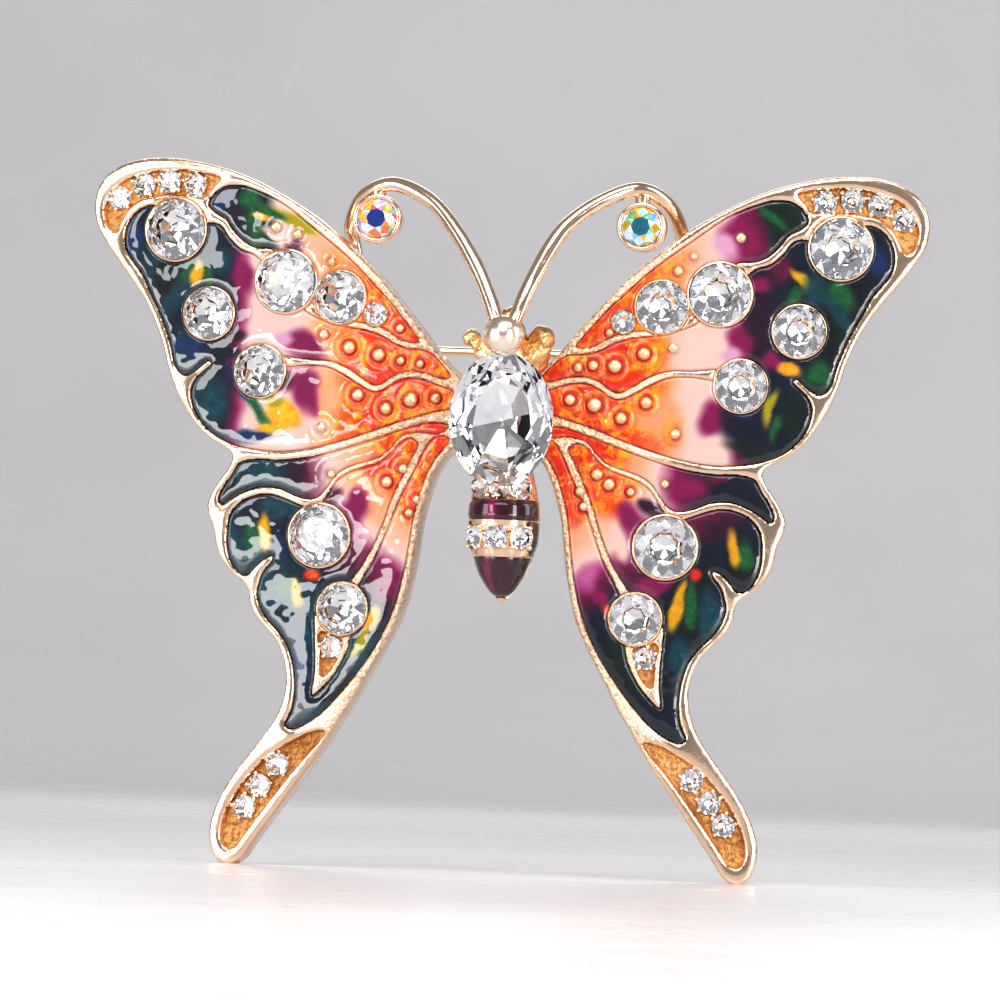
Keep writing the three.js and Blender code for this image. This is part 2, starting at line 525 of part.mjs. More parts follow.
const needleBar = alongX(turned([
  [0, HINGE_X + 0.7], [NEEDLE_R, HINGE_X + 0.7], [NEEDLE_R, NEEDLE_TIP_X - 2.6],
  [NEEDLE_R * 0.5, NEEDLE_TIP_X - 0.6], [0, NEEDLE_TIP_X],
], 12), [0, PIN_Y, PIN_Z]);
let needle = unite([needleBar, alongY(disc(KNUCKLE_R, -KNUCKLE_HALF, KNUCKLE_HALF, 20), [HINGE_X, PIN_Y, PIN_Z])]);
needle = needle.subtract(solid(alongY(disc(outside(RIVET_R + FIT_GAP, 16), -3, 3, 16), [HINGE_X, PIN_Y, PIN_Z])));
addPart('pin_needle', needle, pinSteel);

// A C-shaped ring about the needle's line, drawn across the line and pulled along it. Angles
// are measured from straight behind the wings, up towards +y.
function ringSector(inner, outer, half, from, to, steps) {
  const loop = [];
  for (let i = 0; i <= steps; i += 1) {
    const a = from + (to - from) * i / steps;
    loop.push(new THREE.Vector2(outer * Math.cos(a), outer * Math.sin(a)));
  }
  for (let i = steps; i >= 0; i -= 1) {
    const a = from + (to - from) * i / steps;
    loop.push(new THREE.Vector2(inner * Math.cos(a), inner * Math.sin(a)));
  }
  const geometry = prism(loop, -half, half);
  geometry.rotateY(Math.PI / 2);
  geometry.translate(CATCH_X, PIN_Y, PIN_Z);
  return geometry;
}

const fullTurn = 2 * Math.PI;
const lockSlot = ringSector(1.0, 2.4, 0.5, 0, CATCH_MOUTH + THREE.MathUtils.degToRad(138), 16);
let catchBody = unite([
  ringSector(CATCH_INNER_R, CATCH_OUTER_R, CATCH_HALF, CATCH_MOUTH, fullTurn - CATCH_MOUTH, 20),
  block([CATCH_X, PIN_Y, PIN_Z + 1.7], [2 * CATCH_HALF, 1.7, 0.66]),
  onWingBack(block([CATCH_X * 1.01, PIN_Y, -0.28], [4.4, 4.2, 0.56]), 1),
]);
catchBody = catchBody.subtract(solid(lockSlot));
const bore = disc(outside(CATCH_INNER_R, 24), -3, 3, 24);
catchBody = catchBody.subtract(solid(alongX(bore, [CATCH_X, PIN_Y, PIN_Z])));
addPart('safety_catch', catchBody, rosegold);

const tabAngle = CATCH_MOUTH + THREE.MathUtils.degToRad(12);
const lockSleeve = unite([
  ringSector(LOCK_INNER_R, LOCK_OUTER_R, CATCH_HALF + 0.1, CATCH_MOUTH, fullTurn - CATCH_MOUTH, 20),
  ringSector(LOCK_INNER_R + 0.1, 2.3, 0.4, tabAngle - 0.16, tabAngle + 0.16, 2),
]);
addPart('lock_sleeve', lockSleeve, rosegold);

export default brooch;
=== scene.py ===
"""The looks of the butterfly brooch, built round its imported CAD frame. Lengths are in millimetres
until a mesh is made, and metres after that."""
import bmesh
import bpy
import math
import random
import numpy as np
from mathutils import Matrix, Vector, noise
from mathutils.geometry import delaunay_2d_cdt, tessellate_polygon
from mathutils.kdtree import KDTree


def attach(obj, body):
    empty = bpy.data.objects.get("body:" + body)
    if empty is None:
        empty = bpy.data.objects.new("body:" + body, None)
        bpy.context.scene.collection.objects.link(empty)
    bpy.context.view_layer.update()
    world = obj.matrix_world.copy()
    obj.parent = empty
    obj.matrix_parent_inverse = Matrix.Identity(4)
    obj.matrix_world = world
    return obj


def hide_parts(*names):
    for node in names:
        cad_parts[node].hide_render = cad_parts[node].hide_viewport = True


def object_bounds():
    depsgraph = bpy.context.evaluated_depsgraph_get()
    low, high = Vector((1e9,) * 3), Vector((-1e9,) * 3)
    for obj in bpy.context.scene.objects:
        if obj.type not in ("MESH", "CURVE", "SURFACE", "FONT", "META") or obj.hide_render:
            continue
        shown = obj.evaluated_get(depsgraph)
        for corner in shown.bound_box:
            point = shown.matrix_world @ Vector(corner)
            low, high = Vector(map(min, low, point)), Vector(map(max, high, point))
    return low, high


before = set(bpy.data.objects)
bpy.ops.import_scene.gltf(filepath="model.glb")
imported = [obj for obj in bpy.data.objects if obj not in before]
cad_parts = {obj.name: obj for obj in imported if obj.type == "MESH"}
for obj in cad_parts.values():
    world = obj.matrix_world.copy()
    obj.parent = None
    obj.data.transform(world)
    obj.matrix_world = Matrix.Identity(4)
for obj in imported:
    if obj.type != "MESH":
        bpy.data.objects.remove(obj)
cad_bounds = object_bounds()
MM = 0.001
# Vector noise is placed at random unless it is seeded, so its seed is fixed for every run.
noise.seed_set(41)

# ---------------------------------------------------------------- frame of the brooch
# Brooch axes are x right, y up and z towards the viewer, with the origin at the middle of the oval
# stone's height on the front plane of the wings. The pin's line is the CAD origin.
PIN_Y, PIN_Z = 5.3, -6.5
SWEEP = math.radians(8.5)
BODY_X = 1.15
SIDES = (("left", -1), ("right", 1))


def part(points):
    """Brooch millimetres to the CAD frame's metres."""
    p = np.atleast_2d(np.asarray(points, float))
    return np.stack([p[:, 0], PIN_Z - p[:, 2], p[:, 1] - PIN_Y], 1) * MM


def wing(points, side):
    """Wing-plane millimetres (out, up, forward) to brooch millimetres."""
    p = np.atleast_2d(np.asarray(points, float))
    c, s = math.cos(SWEEP), math.sin(SWEEP)
    return np.stack([side * (p[:, 0] * c + p[:, 2] * s), p[:, 1], -p[:, 0] * s + p[:, 2] * c], 1)


# ---------------------------------------------------------------- outlines, as in the CAD
OUTLINE = [
    (1.0, 1.8), (1.8, 2.7), (2.7, 3.2), (3.6, 3.9), (4.7, 5.1), (5.8, 6.5), (7.5, 8.5), (8.9, 10.1),
    (10.3, 11.5), (12.2, 13.1), (14.2, 14.7), (16.9, 16.3), (19.1, 17.4), (21.2, 18.15), (23.6, 18.7),
    (25.9, 18.95), (27.9, 18.85), (29.5, 18.4), (30.7, 17.6), (31.4, 16.5), (31.6, 15.2), (31.3, 13.8),
    (30.6, 12.6), (29.4, 11.0), (28.3, 9.6), (27.3, 8.2), (26.5, 6.7), (25.8, 5.0), (25.3, 3.3),
    (24.7, 1.8), (23.9, 0.4), (22.9, -0.95), (21.7, -1.95), (20.4, -2.65), (20.0, -3.15), (20.2, -3.9),
    (20.9, -4.9), (21.5, -5.9), (21.8, -6.8), (21.6, -7.7), (21.2, -8.7), (21.0, -9.8), (20.5, -10.9),
    (19.7, -11.75), (18.8, -12.45), (18.3, -13.2), (18.2, -14.0), (17.7, -15.0), (16.8, -15.95),
    (15.9, -17.0), (15.35, -18.3), (15.15, -19.8), (15.4, -21.3), (16.0, -22.7), (16.9, -24.0),
    (17.9, -25.3), (18.85, -26.6), (19.65, -27.9), (20.25, -29.2), (20.6, -30.6), (20.5, -32.0),
    (20.0, -33.0), (19.15, -33.4), (18.25, -32.95), (17.5, -31.9), (16.6, -30.6), (15.5, -29.1),
    (14.4, -27.5), (13.15, -25.8), (12.0, -24.1), (11.0, -22.5), (10.0, -20.9), (9.15, -19.3),
    (8.25, -17.7), (7.35, -16.0), (6.65, -14.4), (6.2, -12.7), (5.85, -10.9), (5.6, -9.1),
    (5.35, -7.3), (4.95, -5.7), (4.45, -4.2), (3.8, -3.0), (3.0, -2.3), (1.8, -2.0), (1.0, -1.4)]
CELLS = {
    "front": [
        (5.95, 5.65), (6.8, 5.65), (7.6, 5.95), (8.6, 6.55), (9.7, 6.9), (11.2, 7.1), (14.6, 8.6),
        (16.6, 11.9), (17.8, 12.35), (18.7, 12.4), (19.6, 12.75), (20.5, 13.55), (21.2, 14.45),
        (22.0, 14.9), (22.6, 15.5), (22.2, 16.3), (21.3, 16.85), (20.0, 16.9), (18.3, 16.35),
        (16.6, 15.5), (14.75, 14.15), (12.7, 12.6), (11.1, 11.3), (9.6, 9.85), (8.1, 8.35), (7.0, 7.05)],
    "main": [
        (2.9, 1.0), (3.1, 2.0), (4.3, 2.45), (5.6, 2.85), (6.8, 2.9), (7.7, 2.55), (8.5, 2.0),
        (9.3, 1.85), (10.4, 2.35), (11.6, 3.05), (12.9, 3.6), (14.4, 3.7), (17.0, 3.6), (17.2, 4.3),
        (14.4, 4.2), (12.7, 4.1), (11.3, 3.6), (10.1, 2.85), (9.2, 2.4), (8.6, 2.55), (7.8, 3.1),
        (6.8, 3.45), (5.5, 3.4), (4.1, 3.0), (3.4, 3.1), (4.2, 4.1), (5.2, 4.9), (6.8, 5.1), (7.7, 5.4),
        (8.8, 6.0), (9.9, 6.35), (11.4, 6.6), (14.6, 7.6), (18.4, 11.4), (19.0, 11.85), (20.0, 12.2),
        (20.9, 13.0), (21.6, 13.9), (22.2, 14.1), (25.2, 13.8), (26.4, 15.2), (27.2, 15.35),
        (28.1, 14.95), (28.8, 14.1), (29.05, 13.0), (28.85, 11.9), (28.2, 11.0), (27.5, 10.1),
        (26.9, 8.9), (26.1, 7.4), (25.5, 6.0), (25.05, 4.7), (24.75, 3.6), (24.4, 3.05), (23.9, 2.8),
        (23.1, 3.2), (22.2, 3.9), (21.9, 3.7), (22.9, 2.7), (23.35, 1.9), (23.3, 0.9), (22.9, -0.1),
        (22.2, -1.0), (21.1, -1.8), (19.8, -2.3), (18.1, -2.6), (16.3, -2.7), (14.0, -2.4),
        (11.7, -1.8), (9.4, -1.05), (7.0, -0.2), (4.6, 0.5)],
    "hind_top": [
        (3.4, -0.5), (5.0, -0.35), (7.1, -0.95), (9.4, -1.75), (11.7, -2.5), (14.0, -3.1), (16.3, -3.4),
        (18.3, -3.4), (19.4, -3.7), (19.9, -4.5), (20.5, -5.4), (20.9, -6.3), (20.7, -6.75),
        (20.1, -6.4), (19.2, -5.85), (17.7, -5.35), (16.2, -5.45), (14.9, -5.95), (13.8, -6.15),
        (13.1, -5.85), (12.4, -5.0), (11.8, -4.2), (10.9, -3.65), (9.6, -3.25), (8.5, -2.85),
        (7.7, -2.15), (7.0, -1.35), (5.6, -1.0), (4.2, -1.1)],
    "hind": [
        (3.3, -1.5), (4.3, -1.3), (5.1, -2.2), (5.8, -3.7), (6.5, -5.1), (7.1, -6.4), (7.7, -8.1),
        (8.5, -10.1), (9.3, -11.5), (9.9, -12.5), (10.6, -12.6), (10.3, -11.9), (9.6, -10.9),
        (8.9, -9.6), (8.2, -7.9), (7.6, -6.1), (7.0, -4.7), (6.3, -3.2), (5.7, -1.9), (6.3, -1.5),
        (7.1, -1.9), (7.9, -2.8), (8.8, -3.4), (9.8, -3.75), (11.0, -4.2), (11.8, -4.8), (12.5, -5.9),
        (13.2, -6.6), (14.3, -6.75), (15.6, -6.3), (16.9, -5.95), (18.2, -6.1), (19.2, -6.6),
        (19.9, -7.5), (20.1, -8.8), (20.0, -10.2), (19.6, -11.2), (19.0, -11.85), (18.35, -11.85),
        (17.9, -11.3), (17.2, -10.65), (16.5, -10.45), (16.6, -10.95), (17.2, -11.7), (17.5, -12.6),
        (17.6, -13.3), (17.3, -14.3), (16.7, -15.2), (15.8, -16.1), (15.0, -17.3), (14.55, -18.7),
        (14.4, -20.4), (14.6, -21.8), (15.0, -22.9), (14.6, -23.2), (13.6, -22.8), (12.3, -21.9),
        (10.9, -20.4), (9.8, -19.0), (8.7, -17.4), (7.8, -15.8), (7.1, -14.1), (6.65, -12.4),
        (6.3, -10.6), (6.05, -8.8), (5.8, -7.0), (5.4, -5.4), (4.9, -4.0), (4.3, -2.9)],
}
TEARDROP = [
    (10.1, -14.6), (10.25, -16.0), (10.55, -17.4), (11.25, -18.8), (12.1, -19.9), (13.1, -20.7),
    (13.0, -19.2), (13.0, -17.6), (13.1, -16.2), (13.0, -14.6)]
FLOORS = {
    "teardrop": [(11.0, -16.4), (11.2, -17.7), (11.9, -18.9), (12.4, -19.2), (12.6, -17.6), (12.65, -16.0)],
    "tip": [
        (21.8, 17.45), (22.9, 17.8), (24.7, 18.0), (26.4, 17.95), (28.3, 17.6), (29.8, 16.85),
        (30.55, 15.9), (30.75, 14.9), (30.4, 13.7), (29.9, 13.4), (29.45, 14.1), (28.85, 15.1),
        (27.9, 15.85), (26.4, 16.15), (25.1, 16.2), (23.7, 16.15), (22.8, 16.2), (22.3, 16.9)],
    "tail": [
        (12.0, -23.3), (13.1, -23.45), (14.6, -24.2), (16.0, -25.1), (17.3, -26.3), (18.4, -27.7),
        (19.15, -29.0), (19.6, -30.35), (19.65, -31.4), (19.25, -32.1), (18.6, -32.0), (17.85, -31.0),
        (16.85, -29.6), (15.65, -28.0), (14.35, -26.3), (13.1, -24.8), (12.35, -24.0)],
}
# name, out, up, stone radius, collar width (none in a pave floor)
STONES = [
    ("stone_tip_large", 25.1, 13.6, 2.2, 0.24), ("stone_mid_large", 16.35, 9.9, 2.22, 0.24),
    ("stone_inner_mid", 12.1, 8.8, 1.84, 0.22), ("stone_outer_mid", 22.25, 7.4, 1.84, 0.22),
    ("stone_vein_mid", 18.1, 3.2, 1.84, 0.22), ("stone_inner_small", 9.3, 7.6, 0.78, 0.16),
    ("stone_hind_large", 13.0, -8.85, 2.22, 0.24), ("stone_hind_mid", 11.0, -14.2, 1.8, 0.22),
    ("stone_teardrop", 11.8, -17.05, 0.76, 0), ("stone_tail_1", 15.6, -25.85, 0.8, 0),
    ("stone_tail_2", 16.95, -27.45, 0.8, 0), ("stone_tail_3", 18.05, -29.05, 0.8, 0),
    ("stone_row_1", 29.7, 15.95, 0.82, 0), ("stone_row_2", 27.85, 16.95, 0.82, 0),
    ("stone_row_3", 25.85, 17.2, 0.82, 0), ("stone_row_4", 23.85, 17.0, 0.82, 0)]
PAVE_STONE_W = -0.3

# Gold beads standing in the enamel: out, up, radius. Each wing has its own.
BEADS = {
    "left": [(11.2, 5.1, .3), (13.2, 6.0, .24), (8.9, 4.6, .3), (7.2, 4.2, .2), (5.7, 4.0, .18),
             (10.4, 1.6, .28), (8.2, 0.65, .28), (6.3, 1.35, .34), (4.4, 1.5, .24), (13.1, -0.85, .24),
             (12.2, -4.3, .2), (7.9, -4.75, .26), (6.7, -3.75, .22), (5.6, -6.0, .2), (6.1, -7.0, .2),
             (12.8, 11.4, .2), (15.5, 13.4, .24), (17.2, 13.9, .26), (7.35, 6.6, .2)],
    "right": [(6.1, 4.1, .22), (7.2, 4.3, .24), (8.8, 4.3, .32), (10.9, 5.3, .3), (13.0, 5.8, .24),
              (5.6, 1.7, .26), (7.4, 1.4, .34), (9.4, 0.5, .28), (11.2, 1.7, .28), (13.4, -0.5, .24),
              (12.8, -4.2, .2), (7.8, -3.7, .26), (8.7, -4.4, .28), (10.3, -4.9, .2), (6.6, -5.0, .22),
              (6.9, -6.1, .2), (13.2, 11.5, .22), (17.7, 14.1, .24), (14.3, 12.6, .18), (8.3, 6.75, .18)],
}


def turning(loop):
    """The loop's area, positive when it runs anticlockwise."""
    x, y = loop[:, 0], loop[:, 1]
    return 0.5 * float(np.sum(x * np.roll(y, -1) - np.roll(x, -1) * y))


def smooth_loop(points, spacing):
    """A closed Catmull-Rom curve through the points, resampled at an even spacing."""
    p = np.array(points, float)
    dense = []
    n = len(p)
    for i in range(n):
        a, b, c, d = p[i - 1], p[i], p[(i + 1) % n], p[(i + 2) % n]
        k = [0.0]
        for q, r in ((a, b), (b, c), (c, d)):
            k.append(k[-1] + max(np.linalg.norm(r - q), 1e-6) ** 0.5)
        t = np.linspace(k[1], k[2], 24, endpoint=False)[:, None]
        a1 = (k[1] - t) / (k[1] - k[0]) * a + (t - k[0]) / (k[1] - k[0]) * b
        a2 = (k[2] - t) / (k[2] - k[1]) * b + (t - k[1]) / (k[2] - k[1]) * c
        a3 = (k[3] - t) / (k[3] - k[2]) * c + (t - k[2]) / (k[3] - k[2]) * d
        b1 = (k[2] - t) / (k[2] - k[0]) * a1 + (t - k[0]) / (k[2] - k[0]) * a2
        b2 = (k[3] - t) / (k[3] - k[1]) * a2 + (t - k[1]) / (k[3] - k[1]) * a3
        dense.append((k[2] - t) / (k[2] - k[1]) * b1 + (t - k[1]) / (k[2] - k[1]) * b2)
    dense = np.concatenate(dense)
    ring = np.vstack([dense, dense[:1]])
    length = np.concatenate([[0], np.cumsum(np.linalg.norm(np.diff(ring, axis=0), axis=1))])
    count = max(12, int(length[-1] / spacing))
    at = np.arange(count) * length[-1] / count
    loop = np.stack([np.interp(at, length, ring[:, 0]), np.interp(at, length, ring[:, 1])], 1)
    return loop if turning(loop) > 0 else loop[::-1]


def circle(u, v, r, spacing=0.16):
    a = np.arange(max(20, int(2 * math.pi * r / spacing)))
    a = a * 2 * math.pi / len(a)
    return np.stack([u + r * np.cos(a), v + r * np.sin(a)], 1)


def within(points, loop):
    """Which points lie inside a loop, row by row."""
    out = np.zeros(len(points), bool)
    x1, y1 = loop[:, 0], loop[:, 1]
    x2, y2 = np.roll(x1, -1), np.roll(y1, -1)
    order = np.argsort(points[:, 1], kind="stable")
    rows, starts = np.unique(points[order, 1], return_index=True)
    for y, idx in zip(rows, np.split(order, starts[1:])):
        cut = (y1 > y) != (y2 > y)
        xs = np.sort(x1[cut] + (y - y1[cut]) * (x2[cut] - x1[cut]) / (y2[cut] - y1[cut]))
        out[idx] = np.searchsorted(xs, points[idx, 0]) % 2 == 1
    return out


def nearest_gap(points, loops):
    """Distance from each point to the nearest loop vertex."""
    edge = np.concatenate(loops)
    tree = KDTree(len(edge))
    for i, (x, y) in enumerate(edge):
        tree.insert((x, y, 0), i)
    tree.balance()
    return np.array([tree.find((x, y, 0))[2] for x, y in points])


def hex_grid(low, high, step):
    rows = []
    for j, y in enumerate(np.arange(low[1], high[1], step * 0.866)):
        xs = np.arange(low[0] + (j % 2) * step / 2, high[0], step)
        rows.append(np.stack([xs, np.full(len(xs), y)], 1))
    return np.concatenate(rows)


def triangulate_wing():
    """One triangulation of the whole wing, with each triangle's region by name."""
    loops = [smooth_loop(OUTLINE, 0.15)]
    tags = ["outline"]
    for name, points in CELLS.items():
        loops.append(smooth_loop(points, 0.13))
        tags.append("cell:" + name)
    loops.append(smooth_loop(TEARDROP, 0.13))
    tags.append("teardrop")
    for name, points in FLOORS.items():
        loops.append(smooth_loop(points, 0.14))
        tags.append("floor:" + name)
    for _, u, v, r, collar in STONES:
        if collar:
            loops.append(circle(u, v, r + collar))
            tags.append("cup")
    low, high = loops[0].min(0), loops[0].max(0)
    grid = hex_grid(low, high, 0.21)
    grid = grid[within(grid, loops[0])]
    far = grid[nearest_gap(grid, loops) > 0.27]
    # Points lie closer by the walls and in the pave floors, where rims, veins and grain are narrow.
    fine = hex_grid(low, high, 0.1)
    fine = fine[within(fine, loops[0])]
    gap = nearest_gap(fine, loops)
    floor = np.zeros(len(fine), bool)
    for loop, tag in zip(loops, tags):
        if tag.startswith("floor"):
            floor |= within(fine, loop)
    fine = fine[(gap > 0.06) & ((gap < 0.22) | floor)]
    rings = []
    for label in BEADS:
        for u, v, r in BEADS[label]:
            rings += [circle(u, v, r + d, 0.11) for d in np.arange(0.05, 0.9, 0.09)]
    rings = np.concatenate(rings)
    rings = rings[within(rings, loops[0])]
    rings = rings[nearest_gap(rings, loops) > 0.08]
    verts = [Vector(p) for loop in loops for p in loop]
    taken = set()
    for group in (rings, fine, far):
        for p in group:
            key = (round(p[0] / 0.07), round(p[1] / 0.07))
            if key not in taken:
                taken.add(key)
                verts.append(Vector(p))
    faces = []
    start = 0
    for loop in loops:
        faces.append(list(range(start, start + len(loop))))
        start += len(loop)
    out = delaunay_2d_cdt(verts, [], faces, 0, 1e-5, True)
    points = np.array([v[:] for v in out[0]])
    tris, regions = [], []
    for face, origin in zip(out[2], out[5]):
        inside = {tags[k] for k in origin}
        if "outline" not in inside or len(face) != 3:
            continue
        cell = [t for t in inside if t.startswith("cell:")]
        floor = [t for t in inside if t.startswith("floor:")]
        if "cup" in inside:
            region = "cup"
        elif floor:
            region = floor[0]
        elif "teardrop" in inside or not cell:
            region = "gold"
        else:
            region = cell[0]
        tris.append(face)
        regions.append(region)
    return points, np.array(tris), np.array(regions)


def submesh(points, tris):
    used, inverse = np.unique(tris.ravel(), return_inverse=True)
    return points[used], inverse.reshape(-1, 3)


def boundary_loops(tris):
    """Chains the edges that one triangle has into closed loops."""
    edges = np.concatenate([tris[:, [0, 1]], tris[:, [1, 2]], tris[:, [2, 0]]])
    have = set(map(tuple, edges))
    follow = {}
    for a, b in edges:
        if (b, a) not in have:
            follow.setdefault(a, []).append(b)
    loops = []
    while follow:
        start = next(iter(follow))
        loop = [start]
        at = follow[start].pop()
        if not follow[start]:
            del follow[start]
        while at != start:
            loop.append(at)
            nxt = follow[at].pop()
            if not follow[at]:
                del follow[at]
            at = nxt
        loops.append(loop)
    return loops


def inflate(points, tris):
    """Solves a membrane under even pressure, held at the region's edge. The square root of twice
    its height is the round section of a bead of enamel or a polished rim."""
    n = len(points)
    p = points[tris]
    e = [p[:, 2] - p[:, 1], p[:, 0] - p[:, 2], p[:, 1] - p[:, 0]]
    area = 0.5 * np.abs(e[0][:, 0] * e[1][:, 1] - e[0][:, 1] * e[1][:, 0])
    area = np.maximum(area, 1e-9)
    rows, cols, weights = [], [], []
    for i, j, k in ((0, 1, 2), (1, 2, 0), (2, 0, 1)):
        w = -np.einsum("ij,ij->i", e[i], e[j]) / (4 * area)
        rows.append(tris[:, i])
        cols.append(tris[:, j])
        weights.append(np.clip(w, 1e-6, 50))
    rows, cols, weights = map(np.concatenate, (rows, cols, weights))
    mass = np.bincount(tris.ravel(), np.repeat(area / 3, 3), n)
    diagonal = np.bincount(rows, weights, n) + np.bincount(cols, weights, n)
    fixed = np.zeros(n, bool)
    for loop in boundary_loops(tris):
        fixed[loop] = True
    free = ~fixed

    def apply(x):
        y = diagonal * x - np.bincount(rows, weights * x[cols], n) - np.bincount(cols, weights * x[rows], n)
        return np.where(free, y, 0)

    x = np.zeros(n)
    r = np.where(free, mass, 0)
    z = r / diagonal
    d = z.copy()
    rz = r @ z
    for _ in range(600):
        q = apply(d)
        alpha = rz / max(d @ q, 1e-30)
        x += alpha * d
        r -= alpha * q
        if np.abs(r).max() < 1e-9:
            break
        z = r / diagonal
        new = r @ z
        d = z + new / rz * d
        rz = new
    return np.maximum(x, 0), fixed


def make_object(name, verts, faces, smooth=True, materials=(), sharp=None):
    """A mesh object from brooch millimetres, with the outward side kept by the caller."""
    me = bpy.data.meshes.new(name)
    me.from_pydata(part(verts).tolist(), [], [tuple(int(i) for i in f) for f in faces])
    me.validate(clean_customdata=False)
    if smooth:
        me.shade_smooth()
        if sharp is not None:
            me.set_sharp_from_angle(angle=math.radians(sharp))
    for m in materials:
        me.materials.append(m)
    ob = bpy.data.objects.new(name, me)
    bpy.context.scene.collection.objects.link(ob)
    return ob


class Solid:
    """Collects vertices and faces of one piece, with a material number for each face."""

    def __init__(self):
        self.v, self.f, self.m, self.n = [], [], [], 0

    def add(self, verts, faces, mat=0, flip=False):
        verts = np.atleast_2d(verts)
        self.v.append(verts)
        for f in faces:
            f = tuple(int(i) + self.n for i in f)
            self.f.append(f[::-1] if flip else f)
            self.m.append(mat)
        self.n += len(verts)

    def build(self, name, materials, smooth=True, sharp=None):
        ob = make_object(name, np.concatenate(self.v), self.f, smooth, materials, sharp)
        if len(set(self.m)) > 1 and len(ob.data.polygons) == len(self.m):
            ob.data.polygons.foreach_set("material_index", self.m)
        return ob


def lathe(profile, sides):
    """Turns (radius, height) pairs about the z axis."""
    verts, faces, rows = [], [], []
    for r, h in profile:
        if r < 1e-6:
            rows.append([len(verts)])
            verts.append((0, 0, h))
            continue
        row = []
        for i in range(sides):
            a = 2 * math.pi * i / sides
            row.append(len(verts))
            verts.append((r * math.cos(a), r * math.sin(a), h))
        rows.append(row)
    for low, high in zip(rows, rows[1:]):
        for i in range(sides):
            j = (i + 1) % sides
            if len(low) == 1 and len(high) == 1:
                continue
            if len(low) == 1:
                faces.append((low[0], high[j], high[i]))
            elif len(high) == 1:
                faces.append((low[i], low[j], high[0]))
            else:
                faces.append((low[i], low[j], high[j], high[i]))
    return np.array(verts, float), faces


def linear(rgb):
    return tuple(((c / 12.92) if c <= 0.04045 else ((c + 0.055) / 1.055) ** 2.4) for c in rgb)


# ---------------------------------------------------------------- node helpers
class Nodes:
    """A short way to write a material's nodes."""

    def __init__(self, name):
        self.mat = bpy.data.materials.new(name)
        self.mat.use_nodes = True
        self.tree = self.mat.node_tree
        self.tree.nodes.clear()
        self.out = self.add("ShaderNodeOutputMaterial")
        self.bsdf = self.add("ShaderNodeBsdfPrincipled")
        self.link(self.bsdf.outputs[0], self.out.inputs[0])
        self.coords = self.add("ShaderNodeTexCoord").outputs["Object"]

    def add(self, kind, **values):
        node = self.tree.nodes.new(kind)
        for key, value in values.items():
            setattr(node, key, value)
        return node

    def link(self, a, b):
        self.tree.links.new(a, b)

    def set(self, **values):
        for key, value in values.items():
            socket = self.bsdf.inputs[key.replace("_", " ")]
            if isinstance(value, bpy.types.NodeSocket):
                self.link(value, socket)
            else:
                socket.default_value = value

    def noise(self, scale, detail=3.0, rough=0.55, distortion=0.0):
        """Noise whose scale is in waves for each millimetre."""
        n = self.add("ShaderNodeTexNoise")
        n.inputs["Scale"].default_value = scale / MM
        n.inputs["Detail"].default_value = detail
        n.inputs["Roughness"].default_value = rough
        n.inputs["Distortion"].default_value = distortion
        self.link(self.coords, n.inputs["Vector"])
        return n.outputs["Fac"]

    def cells(self, scale, output="Distance"):
        n = self.add("ShaderNodeTexVoronoi", feature="F1")
        n.inputs["Scale"].default_value = scale / MM
        self.link(self.coords, n.inputs["Vector"])
        return n.outputs[output]

    def ramp(self, value, stops):
        """Grey stops, each (place, brightness)."""
        n = self.add("ShaderNodeValToRGB")
        e = n.color_ramp.elements
        while len(e) > 1:
            e.remove(e[-1])
        for k, (at, c) in enumerate(stops):
            item = e[0] if k == 0 else e.new(at)
            item.position = at
            item.color = (c, c, c, 1)
        self.link(value, n.inputs["Fac"])
        return n.outputs["Color"]

    def math(self, op, a, b=None, clamp=False):
        n = self.add("ShaderNodeMath", operation=op, use_clamp=clamp)
        for k, x in enumerate((a, b)):
            if x is None:
                continue
            if isinstance(x, bpy.types.NodeSocket):
                self.link(x, n.inputs[k])
            else:
                n.inputs[k].default_value = x
        return n.outputs[0]

    def mix(self, fac, a, b, blend="MIX"):
        n = self.add("ShaderNodeMix", data_type="RGBA", blend_type=blend)
        for socket, x in zip((n.inputs[0], n.inputs[6], n.inputs[7]), (fac, a, b)):
            if isinstance(x, bpy.types.NodeSocket):
                self.link(x, socket)
            elif isinstance(x, (int, float)):
                socket.default_value = x
            else:
                socket.default_value = (*x, 1)
        return n.outputs[2]

    def bump(self, height, strength, distance, below=None):
        n = self.add("ShaderNodeBump")
        n.inputs["Strength"].default_value = strength
        n.inputs["Distance"].default_value = distance * MM
        self.link(height, n.inputs["Height"])
        if below is not None:
            self.link(below, n.inputs["Normal"])
        return n.outputs[0]

    def attribute(self, name):
        return self.add("ShaderNodeAttribute", attribute_name=name)


